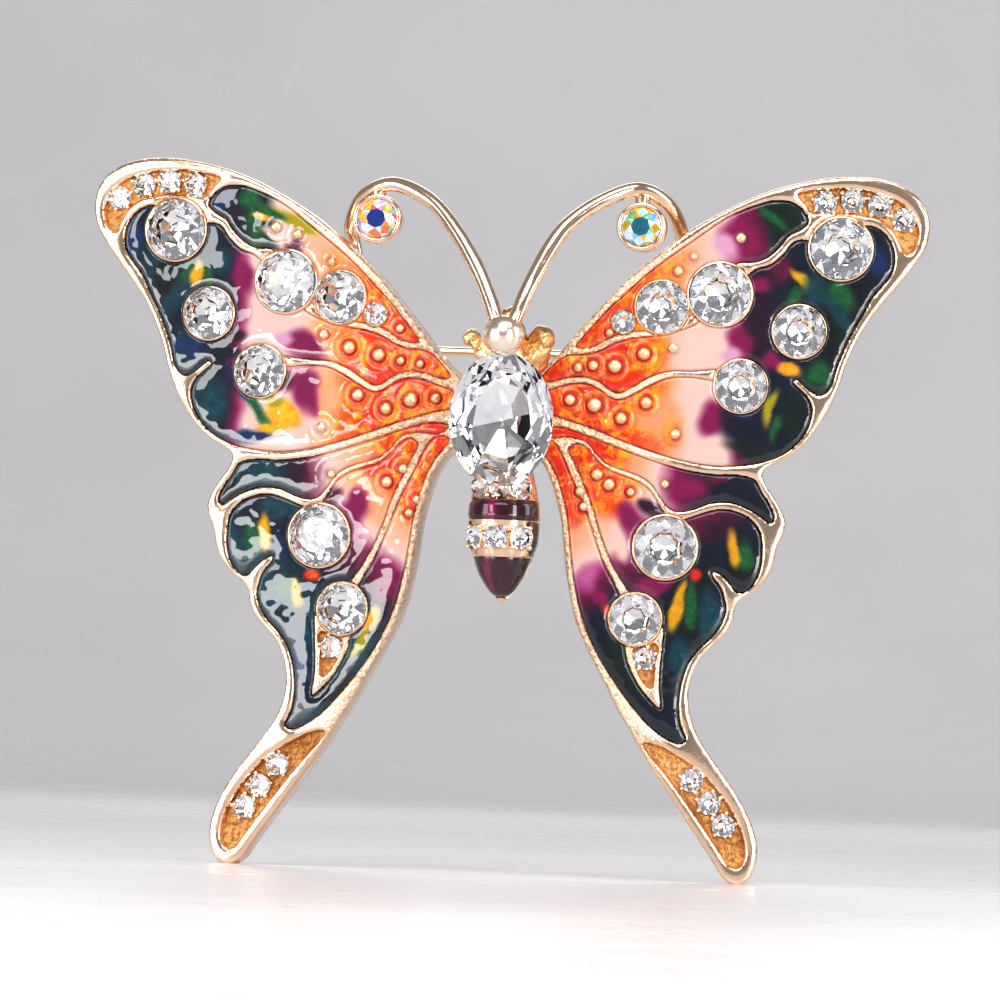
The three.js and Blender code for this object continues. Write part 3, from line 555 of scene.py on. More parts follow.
def gold_material(name, base, dark, rough, grain=0.0, grain_scale=6.0, wave=0.25, inner=False):
    """Plated cast metal: colour that shifts slightly, faint polishing marks and soft casting waves."""
    k = Nodes(name)
    drift = k.noise(0.35, 3, 0.6)
    k.set(Metallic=1.0, Base_Color=k.mix(k.ramp(drift, [(0.35, 0.0), (0.7, 1.0)]), base, dark))
    speck = k.noise(9.0, 2, 0.7)
    spread = k.math("MULTIPLY", k.math("SUBTRACT", speck, 0.5), 0.16)
    k.set(Roughness=k.math("ADD", spread, rough, clamp=True))
    low = k.bump(k.noise(1.3, 2, 0.5), wave, 0.05)
    if grain:
        height = k.noise(grain_scale, 3, 0.65)
        if inner:
            # Milled grain on the veins' front, which dies out away from the body. Here "front" is 1 on
            # the wing's front plane and 0 on its back, once 2.214 has taken off the pin's offset.
            axes = k.add("ShaderNodeSeparateXYZ")
            k.link(k.coords, axes.inputs[0])
            out = k.math("MULTIPLY", k.math("ABSOLUTE", axes.outputs[0]), 1 / (14 * MM))
            near = k.ramp(out, [(0.55, 1.0), (1.0, 0.0)])
            front = k.math("ADD", k.math("MULTIPLY", axes.outputs[1], -0.989 / (2 * MM)),
                           k.math("MULTIPLY", k.math("ABSOLUTE", axes.outputs[0]), 0.1478 / (2 * MM)))
            front = k.ramp(k.math("SUBTRACT", front, 2.214), [(0.3, 0.0), (0.6, 1.0)])
            near = k.math("MULTIPLY", near, front)
            pits = k.math("MULTIPLY", k.ramp(height, [(0.4, 1.0), (0.56, 0.0)]), near)
            plain = k.mix(k.ramp(drift, [(0.35, 0.0), (0.7, 1.0)]), base, dark)
            k.set(Base_Color=k.mix(k.math("MULTIPLY", pits, 0.75), plain, (0.33, 0.19, 0.09)))
            height = k.math("MULTIPLY", height, near)
        low = k.bump(height, grain, 0.22 if inner else 0.1, low)
    k.set(Normal=low)
    return k.mat


GOLD = gold_material("rose_gold_polished", (0.97, 0.70, 0.50), (0.88, 0.57, 0.38), 0.11)
GOLD_WING = gold_material("rose_gold_wing", (0.97, 0.70, 0.50), (0.88, 0.57, 0.38), 0.14, 1.0, 4.2,
                          inner=True)
GOLD_ROUGH = gold_material("rose_gold_granular", (0.92, 0.60, 0.30), (0.62, 0.33, 0.12), 0.2, 0.8, 3.0)
GOLD_BEAD = gold_material("rose_gold_bead", (0.92, 0.66, 0.42), (0.75, 0.45, 0.24), 0.24, 0.6, 6.0)
GOLD_FLOOR = gold_material("rose_gold_pave_floor", (0.62, 0.29, 0.10), (0.30, 0.11, 0.025), 0.3, 0.9, 3.5)
# The head ball's paler gold is a painted highlight, over a satin roughness.
SATIN_PAINTED_HIGHLIGHT = gold_material("champagne_satin_painted_highlight", (1.0, 0.82, 0.66), (0.97, 0.74, 0.56), 0.24)
PIN = gold_material("pin_plating", (0.88, 0.68, 0.48), (0.75, 0.55, 0.38), 0.2)


def crystal_material(name, tint):
    k = Nodes(name)
    smear = k.noise(1.2, 2, 0.5)
    k.set(Base_Color=k.mix(k.ramp(smear, [(0.4, 0.0), (0.7, 1.0)]), tint, tuple(0.97 * c for c in tint)),
          Transmission_Weight=1.0, IOR=1.56, Roughness=0.0)
    return k.mat


def foil_material(name):
    """Mirror backing on a stone's lower facets, which is slightly uneven."""
    k = Nodes(name)
    k.set(Metallic=1.0, Base_Color=k.mix(k.ramp(k.noise(0.9, 2), [(0.4, 0.0), (0.65, 1.0)]),
                                         (0.96, 0.96, 0.97), (0.86, 0.86, 0.9)),
          Roughness=0.03)
    return k.mat


CRYSTAL = crystal_material("clear_crystal", (1.0, 1.0, 1.0))
FOIL = foil_material("stone_foil")


def coated_crystal(name):
    """The coated antenna stones: each facet has its own painted colour under a clear surface."""
    k = Nodes(name)
    paint = k.attribute("Paint").outputs["Color"]
    # Patches of the paint made brighter are painted sparkle, a painted highlight.
    painted_sparkle = k.ramp(k.noise(2.4, 3, 0.7), [(0.35, 0.0), (0.65, 1.0)])
    k.set(Base_Color=k.mix(painted_sparkle, paint, k.mix(1.0, paint, (1.5, 1.5, 1.5), "MULTIPLY")),
          Metallic=0.35, Roughness=0.12, Coat_Weight=1.0, Coat_Roughness=0.02, Coat_IOR=1.7,
          Normal=k.bump(k.cells(1.6), 0.5, 0.12))
    return k.mat


def enamel_material(name, painted_glint_strength, flakes):
    """Glossy enamel over painted colour, with warm glints painted into the colour as highlights, or dark
    metallic flakes.
    """
    k = Nodes(name)
    paint = k.attribute("Paint").outputs["Color"]
    masks = k.add("ShaderNodeSeparateColor")
    k.link(k.attribute("Mask").outputs["Color"], masks.inputs[0])
    warm, flake = masks.outputs[0], masks.outputs[1]
    either = k.math("ADD", warm, flake, clamp=True)
    patch = k.noise(1.3, 4, 0.65)
    shade = k.math("MULTIPLY", k.ramp(patch, [(0.3, 1.0), (0.62, 0.0)]), either)
    tone = k.mix(shade, (1.0, 1.0, 1.0), (0.62, 0.5, 0.5))
    colour = k.mix(1.0, paint, tone, "MULTIPLY")
    # Amber glints mixed into the warm colour are a painted highlight.
    painted_glint = k.ramp(k.noise(0.85, 4, 0.68, 0.7), [(0.5, 0.0), (0.64, 1.0)])
    painted_glint = k.math("MULTIPLY", painted_glint, warm)
    colour = k.mix(k.math("MULTIPLY", painted_glint, painted_glint_strength), colour, (1.0, 0.36, 0.005))
    chips = k.cells(5.5, output="Color")
    split = k.add("ShaderNodeSeparateColor")
    k.link(chips, split.inputs[0])
    chip = k.ramp(split.outputs[1], [(0.72, 0.0), (0.9, 1.0)])
    chip = k.math("MULTIPLY", k.math("MULTIPLY", chip, flake), flakes)
    colour = k.mix(chip, colour, k.mix(1.0, colour, (1.7, 2.0, 2.1), "MULTIPLY"))
    metal = k.math("ADD", k.math("MULTIPLY", warm, 0.3), k.math("MULTIPLY", chip, 0.7), clamp=True)
    uneven = k.math("MULTIPLY", k.noise(2.6, 4, 0.7), warm)
    k.set(Base_Color=colour, Metallic=metal,
          Roughness=k.ramp(uneven, [(0.0, 0.42), (0.3, 0.28), (0.7, 0.45)]),
          Normal=k.bump(uneven, 0.5, 0.1),
          Specular_IOR_Level=0.08, Coat_Weight=1.0, Coat_Roughness=0.025, Coat_IOR=1.52)
    return k.mat


ENAMEL_WARM = enamel_material("enamel_front_cells", 0.8, 0.6)
ENAMEL_DARK = enamel_material("enamel_hind_cells", 0.75, 0.9)


# ---------------------------------------------------------------- enamel colours
ORANGE_RED, ORANGE, AMBER = (0.90, 0.15, 0.0), (0.98, 0.31, 0.02), (1.0, 0.62, 0.08)
PEACH, MILK, LILAC = (0.94, 0.57, 0.40), (0.82, 0.68, 0.64), (0.76, 0.54, 0.66)
MAGENTA, WINE, PLUM = (0.44, 0.01, 0.25), (0.30, 0.01, 0.16), (0.13, 0.01, 0.12)
NAVY, INK, TEAL = (0.01, 0.05, 0.13), (0.005, 0.03, 0.05), (0.01, 0.20, 0.24)
GREEN, BOTTLE, OLIVE = (0.04, 0.30, 0.14), (0.01, 0.09, 0.07), (0.58, 0.52, 0.04)
YELLOW, BLUE, RED = (0.82, 0.58, 0.03), (0.02, 0.13, 0.30), (0.80, 0.12, 0.05)

# Colour along the wing for each cell, from the body outward, before the marbling.
DRIFT = {
    "right": {
        "front": [(6, ORANGE_RED), (10.5, ORANGE), (12.3, PEACH), (16.6, MILK), (17.6, MAGENTA), (19, WINE),
                  (19.8, BOTTLE), (23, INK)],
        "main": [(3, ORANGE_RED), (9.8, ORANGE_RED), (11.6, ORANGE), (13, PEACH), (14.5, MILK),
                 (17.2, MILK), (18.2, WINE), (19.2, PLUM), (20.5, NAVY), (26, INK), (30, NAVY)],
        "hind_top": [(3, ORANGE_RED), (8.5, ORANGE_RED), (10.2, PEACH), (12.6, MILK), (14, MAGENTA),
                     (15.4, PLUM), (17, NAVY), (21, INK)],
        "hind": [(4, ORANGE_RED), (8.6, ORANGE_RED), (9.6, PEACH), (11.8, MILK), (13, MAGENTA),
                 (14.4, WINE), (16, NAVY), (18.5, INK), (24, NAVY)],
    },
    "left": {
        "front": [(6, ORANGE_RED), (9.8, ORANGE), (12, PEACH), (16.8, MILK), (17.8, BOTTLE), (19, GREEN),
                  (20.2, NAVY), (23, NAVY)],
        "main": [(3, ORANGE_RED), (9.4, ORANGE_RED), (11.2, ORANGE), (12.6, PEACH), (15, MILK), (19, MILK),
                 (20, MAGENTA), (20.8, NAVY), (25, TEAL), (30, NAVY)],
        "hind_top": [(3, ORANGE_RED), (8.2, ORANGE_RED), (10, PEACH), (12.4, MILK), (14, WINE),
                     (15.2, NAVY), (17, TEAL), (21, INK)],
        "hind": [(4, ORANGE_RED), (8.4, ORANGE_RED), (9.4, PEACH), (11.6, MILK), (12.8, MAGENTA),
                 (14.2, WINE), (16, NAVY), (19, TEAL), (24, NAVY)],
    },
}
# Marbling drops in each cell, laid in this order: out, up, half length, half width, turn in degrees,
# colour, softness.
DROPS = {
    "right": {
        "front": [
            (17.9, 14.0, 1.2, 1.5, 70, MAGENTA, .5), (16.8, 13.3, .8, .8, 0, LILAC, .6),
            (21.2, 15.9, 1.2, .6, -30, BOTTLE, .5), (20.0, 15.6, .9, .35, -35, GREEN, .5)],
        "main": [
            (11.2, 5.6, 1.5, .5, 15, AMBER, .5), (10.4, 4.4, .9, .35, 25, AMBER, .5),
            (15.0, 5.8, 1.7, 1.9, 0, MILK, .5), (17.7, 6.6, .9, 1.5, 15, MAGENTA, .45),
            (19.4, 8.4, 1.1, 2.2, 20, PLUM, .5), (19.2, 10.8, .7, .5, 0, MAGENTA, .5),
            (20.3, 12.0, .9, .8, 0, WINE, .5), (22.2, 11.2, .35, 1.3, 58, YELLOW, .35),
            (21.6, 10.3, .8, .5, 30, GREEN, .5), (23.6, 10.4, 1.6, .9, -40, TEAL, .5),
            (25.4, 10.0, .6, 1.2, 20, GREEN, .6), (27.4, 14.1, 1.4, .9, -40, NAVY, .5),
            (28.0, 12.6, .8, 1.2, 20, BLUE, .6), (25.5, 6.6, .8, 2.2, 15, BOTTLE, .5),
            (25.2, 8.6, .5, 1.2, 20, TEAL, .5), (21.6, 4.7, .95, .35, -20, AMBER, .4),
            (23.6, 4.3, .9, 1.0, 0, GREEN, .6), (20.4, 5.3, .6, .5, 0, MAGENTA, .5),
            (14.6, 1.8, 1.9, 1.6, 0, MILK, .5), (12.0, .6, 1.5, 1.6, 0, PEACH, .6),
            (16.2, .5, 1.2, 1.5, -20, MAGENTA, .45), (15.9, -1.5, 1.3, .6, 0, MILK, .5),
            (17.6, 0.6, 1.0, 1.3, 10, PLUM, .5), (18.6, -.6, 1.5, 1.0, 0, NAVY, .5),
            (18.4, .85, 1.1, .35, 10, BLUE, .5), (20.6, 1.6, .42, 1.6, -12, OLIVE, .35),
            (21.3, .2, .38, 1.3, -30, GREEN, .5), (22.3, 1.2, .7, 1.6, 10, BOTTLE, .5),
            (19.2, -1.9, 1.8, .5, -8, BOTTLE, .5), (17.2, 5.6, .8, .5, 0, LILAC, .5)],
        "hind_top": [
            (15.0, -4.3, 1.2, .9, 0, MAGENTA, .5), (18.2, -4.4, 1.5, .7, 0, NAVY, .5),
            (16.6, -3.9, .9, .3, 0, WINE, .5)],
        "hind": [
            (8.8, -5.2, 1.3, 1.5, 30, ORANGE, .6), (10.4, -6.9, .9, 1.5, 35, MAGENTA, .5),
            (9.6, -8.6, .6, 1.2, 20, MILK, .5), (11.9, -6.2, .9, .5, -40, PLUM, .5),
            (12.0, -11.6, 1.3, .8, 10, MAGENTA, .4), (14.5, -7.2, 1.7, .8, 5, WINE, .5),
            (16.6, -7.2, 1.2, .9, 0, PLUM, .5), (17.9, -8.5, .42, 1.6, 22, YELLOW, .35),
            (18.9, -8.9, .5, 1.4, 10, GREEN, .5), (16.6, -9.4, .8, 1.0, 0, NAVY, .5),
            (15.3, -10.9, .55, .5, 0, RED, .5), (14.1, -13.0, .42, 1.8, -8, YELLOW, .35),
            (15.1, -12.9, .5, 1.4, 0, GREEN, .5), (16.5, -13.5, .8, 1.4, 0, TEAL, .5),
            (14.4, -17.0, .8, 1.8, 0, TEAL, .6), (7.6, -11.3, .7, .9, 0, (0.66, 0.3, 0.5), .9),
            (8.6, -12.9, .6, .8, 20, MAGENTA, .4), (9.0, -14.3, .4, .6, 20, RED, .5),
            (9.8, -17.2, .5, 2.4, 25, BOTTLE, .5), (12.6, -22.0, 1.6, .8, -35, NAVY, .5)],
    },
    "left": {
        "front": [
            (15.6, 14.4, 1.9, .45, 32, OLIVE, .4), (17.6, 15.2, 1.4, .35, 25, GREEN, .5),
            (17.0, 13.2, 1.4, .55, 10, MILK, .5), (18.2, 14.6, .7, .3, 10, AMBER, .5),
            # The blue drop at 21.4, 15.9 on the navy is a painted highlight.
            (19.2, 15.9, .9, .5, 0, GREEN, .5), (21.4, 15.9, 1.0, .5, -20, BLUE, .6),
            (15.6, 12.3, .8, .6, 0, WINE, .6), (20.6, 14.9, .6, .6, 0, PLUM, .5)],
        "main": [
            (10.8, 5.4, 1.3, .4, 15, AMBER, .5), (14.8, 5.0, 1.3, 1.1, 25, MAGENTA, .4),
            (13.2, 6.3, .9, .7, 20, PEACH, .5), (17.3, 7.2, 1.9, 1.2, 20, MILK, .5),
            (16.2, 5.4, .7, .5, 0, LILAC, .5), (19.7, 10.2, .75, 1.3, -10, MAGENTA, .4),
            (21.3, 11.6, .8, .9, 0, TEAL, .5), (23.0, 10.5, .42, 1.1, 20, YELLOW, .35),
            (23.8, 10.6, .4, .9, 20, GREEN, .5), (22.2, 10.2, .4, .9, 10, GREEN, .5),
            (27.6, 14.2, 1.4, .9, -40, NAVY, .5), (28.4, 12.6, .7, 1.2, 20, BLUE, .5),
            (25.5, 10.2, .7, 1.5, 25, INK, .5), (25.2, 6.2, .8, 2.0, 15, NAVY, .5),
            (23.3, 4.4, 1.2, .8, 10, BLUE, .6), (20.2, 5.6, .8, .6, 0, PLUM, .5),
            (14.3, 1.5, 1.1, 1.9, -15, MAGENTA, .45), (12.3, 1.2, 1.0, 1.4, 0, PEACH, .6),
            (13.4, -.9, 1.4, .6, -5, MILK, .5), (16.2, -.3, 1.4, .9, 30, AMBER, .4),
            (16.9, .9, .9, .45, 30, OLIVE, .5), (18.6, .8, .38, 2.1, -42, GREEN, .45),
            (15.9, 2.3, .7, .8, 0, WINE, .5), (19.6, 2.2, .5, 1.3, -35, BLUE, .5),
            (18.3, -1.7, 1.5, .5, 0, BLUE, .5), (21.8, 1.0, 1.1, 1.6, 0, TEAL, .5),
            (17.3, -1.0, .8, .35, 20, YELLOW, .4), (20.5, 4.2, 1.0, .5, 0, NAVY, .5)],
        "hind_top": [
            (14.9, -4.0, .8, .9, 0, PLUM, .5), (17.8, -4.4, 1.6, .6, 0, TEAL, .5)],
        "hind": [
            (8.6, -5.6, 1.3, 1.6, 30, PEACH, .6), (10.4, -7.2, .9, 1.9, 30, MAGENTA, .45),
            (12.2, -6.2, .9, .6, -40, WINE, .5), (10.1, -10.3, .6, .8, 20, WINE, .5),
            (16.2, -7.0, 1.5, .8, 0, TEAL, .5), (17.5, -8.7, .38, 1.3, 10, YELLOW, .35),
            (18.4, -9.1, .5, 1.3, 10, GREEN, .5), (16.2, -9.6, .6, .8, 0, BLUE, .5),
            (13.3, -11.8, .8, .45, 10, RED, .45), (14.7, -13.1, .38, 1.3, -12, YELLOW, .35),
            (15.5, -12.8, .45, 1.1, -8, GREEN, .5), (16.6, -13.4, .7, 1.2, 0, TEAL, .5),
            (7.7, -12.4, .8, 1.4, 15, MAGENTA, .4), (8.7, -15.0, .4, .9, 25, AMBER, .4),
            (9.5, -16.6, .4, 1.3, 28, OLIVE, .5), (13.9, -18.2, .6, 1.8, 0, BLUE, .5),
            (11.2, -20.0, .8, 1.6, 45, INK, .5), (12.8, -22.0, 1.5, .7, -35, TEAL, .6)],
    },
}


def warp(points, seed, scale, amount):
    out = np.empty_like(points)
    for i, (u, v) in enumerate(points):
        w = noise.noise_vector(Vector((u * scale, v * scale, seed)))
        out[i] = (u + amount * w[0], v + amount * w[1])
    return out


def paint_cell(points, cell, label):
    """Linear colour and (warm, flake) masks at points of the wing plane."""
    seed = 3.7 if label == "left" else 11.3
    bent = warp(warp(points, seed, 0.28, 0.7), seed + 5, 0.9, 0.28)
    u, v = bent[:, 0], bent[:, 1]
    along = 0.6 * u - 0.75 * v if cell == "hind" else u
    stops = DRIFT[label][cell]
    at = [s[0] for s in stops]
    colour = np.stack([np.interp(along, at, [s[1][k] for s in stops]) for k in range(3)], 1)
    for cu, cv, ru, rv, turn, rgb, soft in DROPS[label][cell]:
        a = math.radians(turn)
        du, dv = u - cu, v - cv
        x = (du * math.cos(a) + dv * math.sin(a)) / ru
        y = (-du * math.sin(a) + dv * math.cos(a)) / rv
        d = np.sqrt(x * x + y * y)
        t = np.clip((1 + soft - d) / (2 * soft), 0, 1)
        t = (t * t * (3 - 2 * t))[:, None]
        colour = colour * (1 - t) + np.array(rgb) * t
    # Enamel pools deeper and redder in the groove round a bead, and thins to amber on the ring outside; the
    # dark groove is partly painted shade and the amber ring partly a painted highlight.
    warm = np.clip((colour[:, 0] - 0.72) / 0.15, 0, 1) * np.clip((0.55 - colour[:, 2]) / 0.3, 0, 1)
    for bu, bv, r in BEADS[label]:
        d = np.hypot(points[:, 0] - bu, points[:, 1] - bv) - 1.6 * r
        deep = (warm * np.exp(-(np.clip(d - 0.06, 0, None) / 0.17) ** 2) * (d < 1))[:, None]
        thin_ring_and_highlight = (0.8 * warm * np.exp(-((d - 0.48) / 0.13) ** 2))[:, None]
        # Painted shade in the groove and a painted highlight on the ring, along with the enamel's real
        # depth of colour.
        colour = colour * (1 - deep) + np.array((0.78, 0.13, 0.0)) * deep
        colour = colour * (1 - thin_ring_and_highlight) + np.array((1.0, 0.52, 0.05)) * thin_ring_and_highlight
    lin = np.where(colour <= 0.04045, colour / 12.92, ((colour + 0.055) / 1.055) ** 2.4)
    warm = np.clip((colour[:, 0] - 0.72) / 0.15, 0, 1) * np.clip((0.55 - colour[:, 2]) / 0.3, 0, 1)
    flake = np.clip((0.45 - colour.max(1)) / 0.2, 0, 1)
    return lin, warm, flake


# ---------------------------------------------------------------- wings
# Heights over the wing plane, from the same plane as the CAD's.
GOLD_EDGE_W, GOLD_LIFT = -0.22, 0.4
ENAMEL_EDGE_W, ENAMEL_LIFT = -0.15, 0.21
PAVE_FLOOR_W, PAVE_PIT_W, PAVE_BOTTOM_W, ENAMEL_BOTTOM_W = -0.46, -1.45, -1.5, -1.0
HOLE_BOTTOM_W, ISLAND_BOTTOM_W, BACK_W = -2.08, -2.12, -2.2
RIPPLE, BEAD_GROWTH = 0.56, 1.62


def cap_soft(h, top):
    return top * np.tanh(h / top)


def close_region(solid, p, t, z, floor_of, mat, to_brooch, flip):
    """Adds a region's top surface, its walls and its bottoms, so that it is closed."""
    top = np.column_stack([p, z])
    loops = boundary_loops(t)
    solid.add(to_brooch(top), t, mat, flip)
    floor_of(solid, p, z, loops, mat, to_brooch, flip)


def wall(solid, rings, mat, to_brooch, flip, cap=None):
    """A skin through rings of equal length, each (points, height), with an optional flat cap."""
    n = len(rings[0])
    faces = []
    for k in range(len(rings) - 1):
        for i in range(n):
            j = (i + 1) % n
            a, b = k * n + i, k * n + j
            faces.append((a + n, b + n, b, a))
    if cap is not None:
        start = (len(rings) - 1) * n
        faces += [tuple(start + q for q in f) for f in cap]
    solid.add(to_brooch(np.concatenate(rings)), faces, mat, flip)


def flat_faces(rings, up):
    """Triangles of a flat polygon with holes, all facing up or all facing down."""
    flat = np.concatenate(rings)
    out = []
    for a, b, c in tessellate_polygon([[Vector((x, y, 0)) for x, y in ring] for ring in rings]):
        area = ((flat[b][0] - flat[a][0]) * (flat[c][1] - flat[a][1])
                - (flat[b][1] - flat[a][1]) * (flat[c][0] - flat[a][0]))
        out.append((a, b, c) if (area > 0) == up else (a, c, b))
    return out


def gold_walls(solid, p, z, loops, mat, to_brooch, flip):
    """The casting's rounded outer side and flat back, and shallower closings for its inner edges."""
    areas = [turning(p[loop]) for loop in loops]
    biggest = int(np.argmax(areas))
    for k, (loop, area) in enumerate(zip(loops, areas)):
        ring = p[loop]
        top = np.column_stack([ring, z[loop]])
        if k == biggest and area > 200:
            d = np.roll(ring, -1, 0) - np.roll(ring, 1, 0)
            d /= np.linalg.norm(d, axis=1)[:, None] + 1e-9
            inward = np.stack([-d[:, 1], d[:, 0]], 1)
            rings = [top]
            for inset, height in ((0.0, -0.9), (0.0, -1.85), (0.07, -2.05), (0.2, -2.17), (0.34, BACK_W)):
                rings.append(np.column_stack([ring + inset * inward, np.full(len(ring), height)]))
            cap = flat_faces([rings[-1][:, :2]], False)
            wall(solid, rings, mat, to_brooch, flip, cap)
        else:
            depth = HOLE_BOTTOM_W if area < 0 else ISLAND_BOTTOM_W
            rings = [top, np.column_stack([ring, np.full(len(ring), depth)])]
            wall(solid, rings, mat, to_brooch, flip, flat_faces([ring], bool(area < 0)))


def skirt(depth):
    """Straight walls down to a flat bottom at one height."""
    def make(solid, p, z, loops, mat, to_brooch, flip):
        for loop in loops:
            ring = p[loop]
            bottom = np.column_stack([ring, np.full(len(ring), depth)])
            wall(solid, [np.column_stack([ring, z[loop]]), bottom], mat, to_brooch, flip)
        flat = np.concatenate([p[loop] for loop in loops])
        verts = np.column_stack([flat, np.full(len(flat), depth)])
        solid.add(to_brooch(verts), flat_faces([p[loop] for loop in loops], False), mat, flip)
    return make


def components(tris, n):
    """Splits triangles into sets that share vertices."""
    label = np.arange(n)
    while True:
        low = label[tris].min(1)
        new = label.copy()
        np.minimum.at(new, tris.ravel(), np.repeat(low, 3))
        new = new[new]
        if (new == label).all():
            break
        label = new
    group = label[tris[:, 0]]
    return [tris[group == g] for g in np.unique(group)]


def weld(ob):
    """Merges doubled vertices where walls meet tops."""
    bm = bmesh.new()
    bm.from_mesh(ob.data)
    bmesh.ops.remove_doubles(bm, verts=bm.verts, dist=1e-7)
    bm.to_mesh(ob.data)
    bm.free()


points, tris, regions = triangulate_wing()


def bump_noise(p, seed, scale):
    return np.array([noise.noise(Vector((x * scale, y * scale, seed))) for x, y in p])


heights = {}
for region in sorted(set(regions)):
    if region == "cup":
        continue
    for piece in components(tris[regions == region], len(points)):
        p, t = submesh(points, piece)
        if len(t) < 6:
            continue
        membrane, fixed = inflate(p, t)
        heights.setdefault(region, []).append((p, t, np.sqrt(2 * membrane), fixed))


def lift(label, side):
    """Height of each region's vertices over the wing plane, and the enamel's paint."""
    out = []
    for region, pieces in heights.items():
        kind, _, cell = region.partition(":")
        for p, t, h, fixed in pieces:
            if kind == "gold":
                grain = bump_noise(p, 2.0, 3.1) * np.clip((13 - p[:, 0]) / 6, 0, 1)
                z = GOLD_EDGE_W + cap_soft(1.1 * h, GOLD_LIFT) + np.where(fixed, 0, 0.03 * grain)
                out.append((kind, cell, p, t, z, None))
            elif kind == "floor":
                lumps = 0.11 * bump_noise(p, 9.0, 2.6) + 0.05 * bump_noise(p, 4.0, 6.5)
                z = PAVE_FLOOR_W + np.where(fixed, 0, lumps)
                for _, u, v, r, collar in STONES:
                    if not collar:
                        z[(np.hypot(p[:, 0] - u, p[:, 1] - v) < r + 0.03) & ~fixed] = PAVE_PIT_W
                out.append((kind, cell, p, t, z, None))
            else:
                swell = 1 - np.exp(-h / 0.5)
                z = ENAMEL_EDGE_W + ENAMEL_LIFT * swell
                z += swell * (0.035 * bump_noise(p, 5.0 + side, 0.42) + 0.012 * bump_noise(p, 8.0, 1.5))
                for u, v, r in BEADS[label]:
                    d = np.hypot(p[:, 0] - u, p[:, 1] - v) - r
                    e = np.clip(d - 0.6 * r, 0, None)
                    wave = -np.cos(2 * math.pi * e / RIPPLE) * np.exp(-e / 0.5)
                    near = 0.1 if u < 12.3 and v > -7 else 0.02
                    z += near * swell * wave * (d < 1.2)
                out.append((kind, cell, p, t, z, paint_cell(p, cell, label)))
    return out


def height_at(surfaces, u, v):
    best, found = 9.0, 0.0
    for kind, cell, p, t, z, paint in surfaces:
        d = np.hypot(p[:, 0] - u, p[:, 1] - v)
        i = int(np.argmin(d))
        if d[i] < best:
            best, found = d[i], z[i]
    return found


def ball_mesh(centre, radius, squash=1.0, wide=14, high=9):
    rows = [(radius * math.sin(math.pi * k / high), -radius * squash * math.cos(math.pi * k / high))
            for k in range(high + 1)]
    rows[0], rows[-1] = (0, rows[0][1]), (0, rows[-1][1])
    v, f = lathe(rows, wide)
    return v + np.array(centre), f


def paint_points(ob, name, *channels):
    """Writes a colour attribute, with an alpha of one."""
    layer = ob.data.color_attributes.new(name=name, type="FLOAT_COLOR", domain="POINT")
    layer.data.foreach_set("color", np.column_stack([*channels, np.ones(len(channels[0]))]).ravel())


rng = random.Random(41)


def finish_piece(ob, slot, body, *nodes):
    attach(ob, body)
    if nodes:
        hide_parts(*nodes)


def brilliant(radius, crown, depth, girdle=0.05, table=0.56, star=0.8, low=0.24, ratio=1.0, turn=0.0,
              knee=None, count=8):
    """A round or oval cut stone. Material 0 is the glass above the girdle and 1 the foil below it. The
    table, star and low radii are parts of the whole; a knee breaks the lower facets at that depth."""
    verts, faces = [], []
    step = 2 * math.pi / count

    def ring(r, z, shift, n=count):
        start = len(verts)
        for i in range(n):
            a = turn + (i + shift) * 2 * math.pi / n
            verts.append((r * math.cos(a), r * math.sin(a) * ratio, z))
        return list(range(start, start + n))

    half = math.cos(step / 2)
    z_star = crown + (girdle - crown) * (star * half - table) / (1 - table)
    T = ring(table * radius, crown, 0.5)
    S = ring(star * radius, z_star, 0.0)
    G = ring(radius, girdle, 0, 2 * count)
    L = ring(radius, -girdle, 0, 2 * count)
    Q = ring(low * radius, -knee * depth if knee else -depth + (depth - girdle) * low * half, 0.0)
    C = len(verts)
    verts.append((0, 0, -depth))
    faces.append(tuple(T))
    for i in range(count):
        j = (i + 1) % count
        k = (i - 1) % count
        # Kites run from a table corner to the girdle point in the same direction.
        faces += [(T[k], S[i], T[i]), (T[i], S[i], G[2 * i + 1], S[j]),
                  (S[i], G[2 * i], G[2 * i + 1]), (S[i], G[(2 * i - 1) % (2 * count)], G[2 * i])]
    crown_faces = len(faces)
    for a in range(2 * count):
        b = (a + 1) % (2 * count)
        faces.append((G[a], L[a], L[b], G[b]))
    for i in range(count):
        j = (i + 1) % count
        if knee:
            faces += [(Q[i], C, Q[j]), (Q[i], Q[j], L[2 * i + 1])]
        else:
            faces += [(Q[i], C, Q[j], L[2 * i + 1])]
        faces += [(Q[i], L[2 * i + 1], L[2 * i]), (Q[i], L[2 * i], L[(2 * i - 1) % (2 * count)])]
    mats = [0] * (crown_faces + 2 * count) + [1] * (len(faces) - crown_faces - 2 * count)
    return np.array(verts), faces, mats


def set_stone(name, verts, faces, mats, materials, slot, node):
    ob = make_object(name, verts, faces, smooth=False, materials=materials)
    if len(ob.data.polygons) == len(mats):
        ob.data.polygons.foreach_set("material_index", mats)
    finish_piece(ob, slot, "brooch", node)
    return ob


